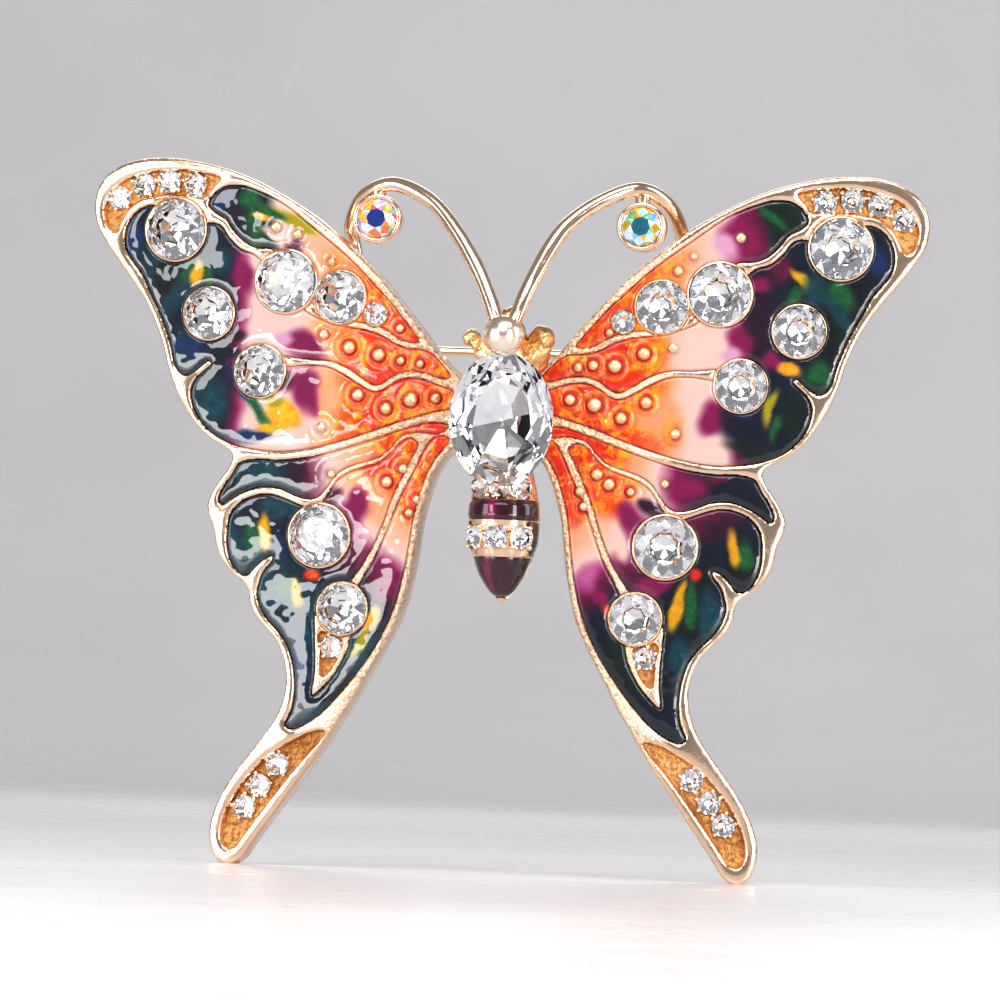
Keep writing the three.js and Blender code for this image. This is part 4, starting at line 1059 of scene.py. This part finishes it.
for label, side in SIDES:
    surfaces = lift(label, side)
    flip = side < 0

    def to_brooch(q, side=side):
        return wing(q, side)

    casting = Solid()
    for kind, cell, p, t, z, paint in surfaces:
        if kind == "gold":
            close_region(casting, p, t, z, gold_walls, 0, to_brooch, flip)
        elif kind == "floor":
            close_region(casting, p, t, z, skirt(PAVE_BOTTOM_W), 1, to_brooch, flip)
    for name, u, v, r, collar in STONES:
        if collar:
            out = r + collar + 0.02
            profile = [(0, ISLAND_BOTTOM_W), (out - 0.1, ISLAND_BOTTOM_W), (out, -1.9), (out, -0.08),
                       (out - 0.03, 0.03), (out - 0.08, 0.09), (r + 0.1, 0.11), (r + 0.02, 0.06),
                       (r - 0.06, -0.06), (0.6 * r, -0.46 * r - 0.16), (0, max(-0.86 * r - 0.12, -2.05))]
            cv, cf = lathe(profile, 56)
            wobble = np.array([noise.noise(Vector((x * 1.3, y * 1.3, u))) for x, y, _ in cv])
            cv[:, 2] += np.where(cv[:, 2] > -0.1, 0.05 * wobble, 0)
            casting.add(to_brooch(cv + np.array([u, v, 0])), cf, 0, flip)
        else:
            cv, cf = lathe([(0, PAVE_BOTTOM_W), (r + 0.12, PAVE_BOTTOM_W), (r + 0.12, -0.45),
                            (r + 0.07, -0.36), (r, -0.33), (r - 0.06, -0.4), (0.6 * r, -0.4 - 0.46 * r),
                            (0, -0.42 - 0.82 * r)], 32)
            casting.add(to_brooch(cv + np.array([u, v, 0])), cf, 1, flip)
            for k in range(5):
                a = rng.uniform(0, 0.5) + k * 2 * math.pi / 5
                x, y = u + (r + 0.14) * math.cos(a), v + (r + 0.14) * math.sin(a)
                bv, bf = ball_mesh((x, y, -0.27), rng.uniform(0.13, 0.2), 1.1)
                casting.add(to_brooch(bv), bf, 0, flip)
    for u, v, r in BEADS[label]:
        bv, bf = ball_mesh((u, v, height_at(surfaces, u, v) + 0.16), BEAD_GROWTH * r, 0.85, 20, 13)
        casting.add(to_brooch(bv), bf, 2, flip)
    ob = casting.build(f"{label}_wing_casting", [GOLD_WING, GOLD_FLOOR, GOLD_BEAD], sharp=42)
    weld(ob)
    finish_piece(ob, "rose_gold", "brooch", f"{label}_wing")

    for cell in CELLS:
        piece = Solid()
        lin, warm, flake = [], [], []
        for kind, name, p, t, z, paint in surfaces:
            if kind != "cell" or name != cell:
                continue
            before = piece.n
            close_region(piece, p, t, z, skirt(ENAMEL_BOTTOM_W), 0, to_brooch, flip)
            # Points of the walls and the bottom take the colour of the nearest point above them.
            below = np.concatenate(piece.v)[before + len(p):]
            tree = KDTree(len(p))
            for i, q in enumerate(to_brooch(np.column_stack([p, z]))):
                tree.insert((q[0], q[1], 0), i)
            tree.balance()
            nearest = [tree.find((q[0], q[1], 0))[1] for q in below]
            index = np.concatenate([np.arange(len(p)), nearest]).astype(int)
            lin.append(paint[0][index])
            warm.append(paint[1][index])
            flake.append(paint[2][index])
        material = ENAMEL_DARK if cell == "hind" else ENAMEL_WARM
        ob = piece.build(f"{label}_enamel_{cell}_fill", [material], sharp=50)
        warm = np.concatenate(warm)
        paint_points(ob, "Paint", np.concatenate(lin))
        paint_points(ob, "Mask", warm, np.concatenate(flake), np.zeros(len(warm)))
        weld(ob)
        finish_piece(ob, "enamel_dark" if cell.startswith("hind") else "enamel_warm", "brooch",
                     f"{label}_enamel_{cell}")

    for name, u, v, r, collar in STONES:
        sv, sf, sm = brilliant(r + 0.055, 0.32 * r + 0.06, 0.8 * r, girdle=0.035 * r, table=0.6, star=0.82,
                               low=0.58, turn=rng.uniform(0, 0.7))
        tilt = Matrix.Rotation(rng.uniform(-0.04, 0.04), 3, "X")
        tilt = tilt @ Matrix.Rotation(rng.uniform(-0.04, 0.04), 3, "Y")
        sv = sv @ np.array(tilt).T
        sv = to_brooch(sv + np.array([u, v, 0.1 if collar else PAVE_STONE_W + 0.05]))
        if flip:
            sf = [f[::-1] for f in sf]
        set_stone(f"{label}_{name}_cut", sv, sf, sm, [CRYSTAL, FOIL], "crystal", f"{label}_{name}")

# ---------------------------------------------------------------- body
ABDOMEN_Z, ABDOMEN_TURN = 0.1, math.radians(-6)
PROFILE = [(-3.3, 1.9), (-5.0, 2.35), (-6.3, 2.58), (-7.5, 2.64), (-9.0, 2.5), (-10.2, 2.16), (-11.5, 1.62),
           (-12.6, 0.92), (-13.35, 0.12)]
OVAL_X, OVAL_Y, OVAL_Z, OVAL_RATIO = BODY_X - 0.1, -0.1, 3.34, 1.29


def abdomen_radius(y):
    ys = np.array([q[0] for q in PROFILE])[::-1]
    rs = np.array([q[1] for q in PROFILE])[::-1]
    return float(np.interp(y, ys, rs))


def abdomen_point(a, y, r):
    """A point of the abdomen, its angle measured from the front towards +x."""
    a = a + ABDOMEN_TURN
    return (BODY_X + r * math.sin(a), y, ABDOMEN_Z + r * math.cos(a))


def tube(path, radii, sides=20):
    """A round tube through points, with parallel frames and rounded ends."""
    path = [Vector(q) for q in path]
    radii = [float(r) for r in radii]
    n = len(path)
    tangents = [(path[min(i + 1, n - 1)] - path[max(i - 1, 0)]).normalized() for i in range(n)]
    normal = tangents[0].orthogonal().normalized()
    verts, faces, rows = [], [], []

    def ring(centre, nrm, tan, r):
        b = tan.cross(nrm)
        start = len(verts)
        for k in range(sides):
            a = 2 * math.pi * k / sides
            verts.append(tuple(centre + r * (math.cos(a) * nrm + math.sin(a) * b)))
        rows.append(list(range(start, start + sides)))

    r0 = radii[0]
    for s in (0.25, 0.6, 0.85):
        ring(path[0] - tangents[0] * r0 * math.cos(s * math.pi / 2), normal, tangents[0],
             r0 * math.sin(s * math.pi / 2))
    for i in range(n):
        if i:
            normal = (normal - tangents[i] * normal.dot(tangents[i])).normalized()
        ring(path[i], normal, tangents[i], radii[i])
    r1 = radii[-1]
    for s in (0.85, 0.6, 0.25):
        ring(path[-1] + tangents[-1] * r1 * math.cos(s * math.pi / 2), normal, tangents[-1],
             r1 * math.sin(s * math.pi / 2))
    for low, high in zip(rows, rows[1:]):
        for k in range(sides):
            j = (k + 1) % sides
            faces.append((low[k], low[j], high[j], high[k]))
    faces.append(tuple(rows[0][::-1]))
    faces.append(tuple(rows[-1]))
    return np.array(verts), faces


def curve_points(points, count):
    """Points along an open Catmull-Rom curve."""
    p = [Vector(q) for q in points]
    p = [2 * p[0] - p[1]] + p + [2 * p[-1] - p[-2]]
    out = []
    spans = len(p) - 3
    for k in range(count + 1):
        t = k / count * spans
        i = min(int(t), spans - 1)
        t -= i
        a, b, c, d = p[i:i + 4]
        out.append(0.5 * ((2 * b) + (c - a) * t + (2 * a - 5 * b + 4 * c - d) * t * t
                          + (3 * b - a - 3 * c + d) * t ** 3))
    return out


body = Solid()
# Basket under the oval stone, with a rolled lip.
basket = [(0, -2.0), (2.3, -2.0), (2.5, -1.85), (2.5, 0.4), (2.75, 1.1), (3.1, 1.9), (3.45, 2.6),
          (3.72, 3.05), (3.8, 3.2), (3.74, 3.22), (3.5, 2.75), (2.2, 0.9), (0, -0.2)]
bv, bf = lathe(basket, 72)
bv = bv * np.array([1, OVAL_RATIO, 1]) + np.array([OVAL_X, OVAL_Y, 0])
body.add(bv, bf, 0)
# Abdomen: lengthwise rows, each a ring round the body's axis. The enamel's room is sunk by 0.3 mm.
rows, sides = [], 64
ys = np.concatenate([np.linspace(-2.6, -13.3, 86), [-13.42]])
LINES = [(-5.85, 0.08), (-7.42, 0.08), (-9.98, 0.08)]
for y in ys:
    row = []
    for k in range(sides):
        a = 2 * math.pi * k / sides
        r = abdomen_radius(y) if y > -13.35 else 0.05
        front = math.cos(a)
        depth = 0.0
        if front > -0.28:
            beside_stones = abs(r * math.sin(a)) > 2.17 and -9.98 <= y <= -7.42
            if (-12.95 < y < -9.98) or (-7.42 < y < -5.9) or beside_stones:
                depth = 0.24
        r_here = r - depth
        if front > -0.28:
            x, _, z = abdomen_point(a, y, r)
            for sy, sr in ((-5.0, 2.35), (-8.65, 2.55)):
                for step in (-1, 0, 1):
                    t = math.radians(44) * step + ABDOMEN_TURN
                    across = (x - BODY_X) * math.cos(t) - (z - ABDOMEN_Z) * math.sin(t)
                    if math.hypot(across, y - sy) < 0.86:
                        r_here = r - 1.0
            for ly, lw in LINES:
                if abs(y - ly) < 0.3 and r_here > r - 0.9:
                    r_here = max(r_here, r - 0.22 + 0.30 * math.exp(-((y - ly) / lw) ** 2))
        row.append(abdomen_point(a, y, max(r_here, 0.03)))
    rows.append(row)
verts = np.array([q for row in rows for q in row] + [abdomen_point(0, -2.5, 0), abdomen_point(0, -13.5, 0)])
faces = []
for i in range(len(rows) - 1):
    for k in range(sides):
        j = (k + 1) % sides
        faces.append((i * sides + k, (i + 1) * sides + k, (i + 1) * sides + j, i * sides + j))
top, tip = len(verts) - 2, len(verts) - 1
last = (len(rows) - 1) * sides
for k in range(sides):
    j = (k + 1) % sides
    faces += [(top, k, j), (tip, last + j, last + k)]
verts[:, 2] = np.maximum(verts[:, 2], -2.0)
# Its top end stays clear of the oval stone's lower facets.
verts[:, 2] = np.minimum(verts[:, 2], np.interp(-verts[:, 1], [2.6, 3.3, 4.3, 4.5], [0.7, 1.2, 2.1, 9]))
body.add(verts, faces, 0)
# Crown behind the head: a rough cast cone, a knob on the left, a block on the right, a small spike.
crown = [
    ([(BODY_X, 4.6, -0.2), (BODY_X, 5.3, 0.0), (BODY_X, 6.3, 0.15), (BODY_X, 7.5, 0.3)],
     [1.7, 1.5, 1.2, 0.72]),
    ([(BODY_X - 0.9, 3.9, -0.3), (BODY_X - 1.9, 4.9, 0.1), (BODY_X - 2.6, 5.7, 0.35)], [1.0, 0.8, 0.55]),
    ([(BODY_X + 0.9, 3.8, -0.35), (BODY_X + 1.7, 4.8, 0.15), (BODY_X + 2.25, 5.9, 0.4)], [1.3, 1.15, 0.85]),
]


def roughen(v, seed, amount, scale=1.2):
    out = np.array(v, float)
    for i, q in enumerate(out):
        # q follows out[i], so the fine noise is read where the coarse noise has put the point.
        out[i] += amount * np.array(noise.noise_vector(Vector(q * scale) + Vector((seed, 0, 0))))
        fine = noise.noise_vector(Vector(q * scale * 2.7) + Vector((seed, 5, 0)))
        out[i] += 0.4 * amount * np.array(fine)
    return out


for k, (path, radii) in enumerate(crown):
    fine = curve_points(path, 18)
    r = np.interp(np.linspace(0, 1, 19), np.linspace(0, 1, len(radii)), radii)
    v, f = tube(fine, r, 28)
    body.add(roughen(v, 3.0 * k, 0.26, 1.5), f, 1)
for k, (c, r) in enumerate((((BODY_X, 7.6, 0.3), 0.76), ((BODY_X - 2.85, 5.95, 0.4), 0.66),
                            ((BODY_X + 2.35, 6.1, 0.4), 0.94))):
    v, f = ball_mesh(c, r, 1.0, 28, 18)
    body.add(roughen(v, 20 + k, 0.16, 1.5), f, 1)
# Seats round the small stones of the abdomen.
abdomen_stones = []
for row, y, radius in (("upper", -5.0, 2.35), ("lower", -8.65, 2.55)):
    for i, step in enumerate((-1, 0, 1)):
        a = math.radians(44) * step
        centre = Vector(abdomen_point(a, y, radius))
        turn = Matrix.Rotation(a + ABDOMEN_TURN, 3, "Y")
        abdomen_stones.append((f"stone_abdomen_{row}_{i + 1}", centre, turn))
        lip = 0.0 if row == "lower" else -0.26
        v, f = lathe([(0, -1.0), (0.98, -1.0), (0.98, lip - 0.05), (0.94, lip + 0.07), (0.9, lip + 0.08),
                      (0.82, lip - 0.04), (0.5, -0.46), (0, -0.8)], 36)
        body.add(v @ np.array(turn).T + np.array(centre), f, 0)
        for b in range(4 if row == "lower" else 0):
            t = math.radians(45 + 90 * b)
            v, f = ball_mesh((1.0 * math.cos(t), 1.0 * math.sin(t), 0.02), 0.2, 1.0)
            body.add(v @ np.array(turn).T + np.array(centre), f, 0)
ob = body.build("body_frame", [GOLD, GOLD_ROUGH], sharp=48)
weld(ob)
finish_piece(ob, "rose_gold", "brooch", "body_casting")

for name, centre, turn in abdomen_stones:
    sv, sf, sm = brilliant(0.86, 0.33, 0.66, girdle=0.03, table=0.6, star=0.82, low=0.58,
                           turn=rng.uniform(0, 0.7))
    sv = sv @ np.array(turn).T + np.array(centre) + np.array(turn @ Vector((0, 0, 0.03)))
    set_stone(name + "_cut", sv, sf, sm, [CRYSTAL, FOIL], "crystal", name)

sv, sf, sm = brilliant(3.86, 1.35, 2.75, girdle=0.08, table=0.64, star=0.84, low=0.58, ratio=OVAL_RATIO,
                       turn=0.2, knee=0.74)
set_stone("oval_stone_cut", sv + np.array([OVAL_X, OVAL_Y, OVAL_Z]), sf, sm, [CRYSTAL, FOIL], "crystal",
          "oval_stone")

# Plum enamel: a skin in three rooms of the abdomen, domed between their edges.
k = Nodes("plum_enamel")
deep = k.noise(0.8, 4, 0.65)
# The Paint colour is the wine enamel with a painted highlight streak and painted shade towards the sides.
plum_paint_with_painted_light = k.add("ShaderNodeVertexColor", layer_name="Paint")
tint = k.mix(k.ramp(deep, [(0.35, 0.0), (0.8, 1.0)]), plum_paint_with_painted_light.outputs["Color"], (0.03, 0.0005, 0.01))
k.set(Base_Color=tint,
      Metallic=0.12, Roughness=0.35, Specular_IOR_Level=0.08, Coat_Weight=1.0, Coat_Roughness=0.03,
      Normal=k.bump(k.noise(2.5, 3), 0.3, 0.06))
PLUM_ENAMEL = k.mat


def enamel_band(solid, y0, y1, arc, colours):
    """One room's enamel between heights y0 and y1 over an arc either side of the front."""
    ny, na = max(6, int(abs(y1 - y0) / 0.12)), 56
    grid = []
    for i in range(ny + 1):
        y = y0 + (y1 - y0) * i / ny
        for j in range(na + 1):
            a = -arc[0] + (arc[0] + arc[1]) * j / na
            edge = min(i, ny - i) / ny * 4, min(j, na - j) / na * 8
            dome = min(1, edge[0]) ** 0.5 * min(1, edge[1]) ** 0.5
            r = abdomen_radius(y) - 0.1 + 0.14 * dome + 0.02 * noise.noise(Vector((a * 2, y * 0.8, 3)))
            grid.append(abdomen_point(a, y, max(r, 0.08)))
            # t is a painted highlight: a magenta streak a little left of the front.
            t = (math.exp(-((a + 0.42 - 0.06 * (y + 11)) / 0.16) ** 2)
                 * (0.5 + 0.5 * noise.noise(Vector((a * 3, y * 2, 9))) + 0.4))
            # Painted shade: the wine darkens towards the abdomen's sides.
            painted_side_shade = np.clip(abs(a) / 1.3, 0, 1) ** 2
            wine = np.array([0.025, 0.0003, 0.006]) * (1 - 0.8 * painted_side_shade)
            colours.append(wine + np.array([0.26, 0.002, 0.08]) * t)
    n_top = len(grid)
    for i in range(ny + 1):
        y = y0 + (y1 - y0) * i / ny
        for j in range(na + 1):
            a = -arc[0] + (arc[0] + arc[1]) * j / na
            grid.append(abdomen_point(a, y, max(abdomen_radius(y) - 0.36, 0.03)))
            colours.append(np.array([0.2, 0.01, 0.08]))
    faces = []
    w = na + 1
    for i in range(ny):
        for j in range(na):
            a, b, c, d = i * w + j, i * w + j + 1, (i + 1) * w + j + 1, (i + 1) * w + j
            faces += [(a, d, c, b), (a + n_top, b + n_top, c + n_top, d + n_top)]
    rim = [j for j in range(w)] + [i * w + na for i in range(1, ny + 1)]
    rim += [ny * w + j for j in range(na - 1, -1, -1)] + [i * w for i in range(ny - 1, 0, -1)]
    for q, s in zip(rim, rim[1:] + rim[:1]):
        faces.append((q, s, s + n_top, q + n_top))
    solid.add(np.array(grid), faces, 0)


plum, tints = Solid(), []
full = math.radians(104)
front_edge = math.radians(62)
enamel_band(plum, -5.92, -7.4, (full, full), tints)
enamel_band(plum, -10.02, -12.93, (full, full), tints)
enamel_band(plum, -7.4, -10.02, (-front_edge, full), tints)
enamel_band(plum, -7.4, -10.02, (full, -front_edge), tints)
ob = plum.build("abdomen_enamel_fill", [PLUM_ENAMEL], sharp=60)
paint_points(ob, "Paint", np.array(tints))
finish_piece(ob, "enamel_plum", "brooch", "abdomen_enamel")

# ---------------------------------------------------------------- antennae
WIRES = (
    [(1.1, 5.8, 6.0), (0.5, 7.6, 5.5), (-1.0, 10.7, 4.1), (-3.0, 13.7, 2.5), (-5.1, 15.9, 1.1),
     (-8.0, 17.15, -0.4), (-10.4, 16.4, -1.9), (-11.6, 14.5, -3.9), (-11.6, 13.3, -4.75),
    (-11.3, 12.2, -4.85)],
    [(1.7, 5.8, 6.0), (2.3, 7.7, 5.5), (3.1, 10.1, 4.2), (4.2, 12.6, 3.0), (5.4, 14.5, 1.9),
     (7.6, 16.3, 0.5), (10.1, 17.3, -0.8), (12.0, 16.4, -2.6), (12.9, 14.4, -4.7), (12.8, 13.0, -5.0)])
GEMS = (("left", (-9.25, 14.6, -0.5)), ("right", (10.35, 14.55, -0.5)))
antennae = Solid()
for path in WIRES:
    fine = curve_points(path, 110)
    radii = [0.56 + 0.06 * noise.noise(Vector((q.x * 0.35, q.y * 0.35, 1.0))) for q in fine]
    radii = [r * (1 if i < 90 else 1 - 0.12 * (i - 90) / 20) for i, r in enumerate(radii)]
    antennae.add(*tube(fine, radii, 24), 0)
# The head ball takes the paler gold, a painted highlight.
v, f = ball_mesh((BODY_X + 0.22, 5.85, 6.0), 1.5, 1.0, 48, 32)
antennae.add(v, f, 1)
stalk = [(BODY_X + 0.2, 6.45, 2.1), (BODY_X + 0.22, 6.3, 4.0), (BODY_X + 0.25, 6.2, 6.0)]
antennae.add(*tube(curve_points(stalk, 12), [0.8] * 13, 24), 0)
for label, c in GEMS:
    v, f = lathe([(0, -1.75), (1.5, -1.75), (1.78, -1.6), (1.84, -1.2), (1.84, -0.1), (1.8, 0.1),
                  (1.7, 0.2), (1.55, 0.2), (1.45, 0.1), (1.4, -0.05), (0, -1.15)], 64)
    antennae.add(v + np.array(c), f, 0)
    stub = curve_points([(c[0] - 0.05, c[1] + 1.2, -1.2), (c[0], c[1] + 2.4, -1.15)], 6)
    antennae.add(*tube(stub, [0.55] * 7, 20), 0)
ob = antennae.build("antenna_wires", [GOLD, SATIN_PAINTED_HIGHLIGHT], sharp=50)
finish_piece(ob, "rose_gold", "brooch", "antennae")

AURORA = coated_crystal("aurora_coating")
FACETS = {
    "left": ((0.03, 0.16, 0.50), [(0.85, 0.40, 0.06), (0.80, 0.45, 0.65), (0.45, 0.78, 0.80),
                                  (0.62, 0.55, 0.85), (0.90, 0.70, 0.25), (0.75, 0.80, 0.90)]),
    "right": ((0.03, 0.36, 0.45), [(0.70, 0.82, 0.92), (0.80, 0.60, 0.08), (0.35, 0.62, 0.45),
                                   (0.82, 0.86, 0.92), (0.72, 0.60, 0.16), (0.45, 0.68, 0.85)]),
}
for label, c in GEMS:
    sv, sf, sm = brilliant(1.44, 0.5, 1.0, girdle=0.04, turn=0.3, table=0.5)
    ob = set_stone(f"{label}_antenna_stone_cut", sv + np.array(c) + np.array([0, 0, 0.08]), sf, sm,
                   [AURORA, AURORA], "aurora_crystal", f"{label}_antenna_stone")
    centre, ring = FACETS[label]
    paint = ob.data.color_attributes.new(name="Paint", type="FLOAT_COLOR", domain="CORNER")
    for face in ob.data.polygons:
        rgb = linear(centre if face.index == 0 else ring[rng.randrange(len(ring))])
        for corner in face.loop_indices:
            paint.data[corner].color = (*rgb, 1)

# ---------------------------------------------------------------- pin, kept from the CAD
for node, material in (("pin_hinge", GOLD), ("hinge_rivet", PIN), ("pin_needle", PIN),
                       ("safety_catch", GOLD), ("lock_sleeve", GOLD)):
    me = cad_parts[node].data
    me.materials.clear()
    me.materials.append(material)

# ---------------------------------------------------------------- floor and backdrop
floor_z = cad_bounds[0][2]
k = Nodes("pale_floor")
cloud = k.ramp(k.noise(0.02, 3), [(0.3, 0.0), (0.7, 1.0)])
k.set(Base_Color=k.mix(cloud, (0.68, 0.66, 0.67), (0.72, 0.70, 0.71)),
      Roughness=k.ramp(k.noise(0.05, 2), [(0.3, 0.26), (0.7, 0.32)]))
sweep_profile = [(-0.9, 0.0), (0.7, 0.0)]
for i in range(1, 25):
    a = math.pi / 2 * i / 24
    sweep_profile.append((0.7 + 0.3 * math.sin(a), 0.3 * (1 - math.cos(a))))
sweep_profile.append((1.0, 0.9))
verts, faces = [], []
for y, z in sweep_profile:
    for x in (-1.2, 1.2):
        verts.append((x, y, z + floor_z))
for i in range(len(sweep_profile) - 1):
    faces.append((2 * i, 2 * i + 1, 2 * i + 3, 2 * i + 2))
me = bpy.data.meshes.new("studio_sweep")
me.from_pydata(verts, [], faces)
me.shade_smooth()
me.materials.append(k.mat)
sweep = bpy.data.objects.new("studio_sweep", me)
bpy.context.scene.collection.objects.link(sweep)

# ---------------------------------------------------------------- camera
YAW, PITCH, ROLL = (math.radians(a) for a in (7.49, -2.77, -2.24))
DISTANCE, FOCAL_PX = 499.8, 845 / 62 * 499.8
cy, sy, cp, sp, cr, sr = (f(a) for a in (YAW, PITCH, ROLL) for f in (math.cos, math.sin))
M = (np.array([[cr, -sr, 0], [sr, cr, 0], [0, 0, 1]]) @ np.array([[1, 0, 0], [0, cp, -sp], [0, sp, cp]])
     @ np.array([[cy, 0, -sy], [0, 1, 0], [sy, 0, cy]]))
right, up, back = M
aim = -back + right * (500 - 492.73) / FOCAL_PX - up * (500 - 420) / FOCAL_PX


def turn_to_part(v):
    return Vector((v[0], -v[2], v[1]))


cam_data = bpy.data.cameras.new("camera")
cam_data.sensor_width = 36.0
cam_data.lens = 36.0 * FOCAL_PX / 1000
cam_data.clip_start, cam_data.clip_end = 0.02, 10
cam = bpy.data.objects.new("camera", cam_data)
bpy.context.scene.collection.objects.link(cam)
z_axis = -turn_to_part(aim).normalized()
x_axis = turn_to_part(up).cross(z_axis).normalized()
y_axis = z_axis.cross(x_axis)
spot = Vector(part(DISTANCE * back)[0])
cam.matrix_world = Matrix.Translation(spot) @ Matrix((x_axis, y_axis, z_axis)).transposed().to_4x4()
bpy.context.scene.camera = cam


# ---------------------------------------------------------------- light
def softbox(name, place, size, power, direction=None):
    """A rectangular light at brooch millimetres, aimed at the brooch's middle unless told otherwise."""
    data = bpy.data.lights.new(name, "AREA")
    data.shape = "RECTANGLE"
    data.size, data.size_y = size[0] * MM, size[1] * MM
    data.energy = power
    ob = bpy.data.objects.new(name, data)
    bpy.context.scene.collection.objects.link(ob)
    spot = Vector(part(place)[0])
    aim_at = Vector(direction or Vector(part((0, -3, 0))[0]) - spot)
    ob.matrix_world = Matrix.Translation(spot) @ aim_at.to_track_quat("-Z", "Y").to_matrix().to_4x4()


softbox("softbox_left", (-282, 120, 390), (96, 150), 0.42)
softbox("side_box_left", (-400, 60, 250), (150, 300), 0.7)
softbox("softbox_top", (60, 420, 200), (420, 200), 1.15)
softbox("softbox_front", (-40, 290, 400), (320, 120), 0.75)
softbox("strip_right", (310, 70, 350), (90, 280), 0.9)
softbox("low_left", (-260, -14, 380), (180, 34), 0.22)
softbox("low_right", (280, -14, 380), (180, 34), 0.22)
softbox("side_right", (460, 160, 20), (160, 320), 0.7)
softbox("softbox_back", (-60, 250, -430), (300, 200), 0.5)
softbox("backdrop_light", (0, 420, -480), (700, 160), 1.45, (0, 1, -0.75))
world = bpy.data.worlds.new("studio")
bpy.context.scene.world = world
world.use_nodes = True
world.node_tree.nodes["Background"].inputs[0].default_value = (0.86, 0.87, 0.90, 1)
world.node_tree.nodes["Background"].inputs[1].default_value = 0.32
scene = bpy.context.scene
scene.view_settings.view_transform = "Standard"
scene.view_settings.look = "None"
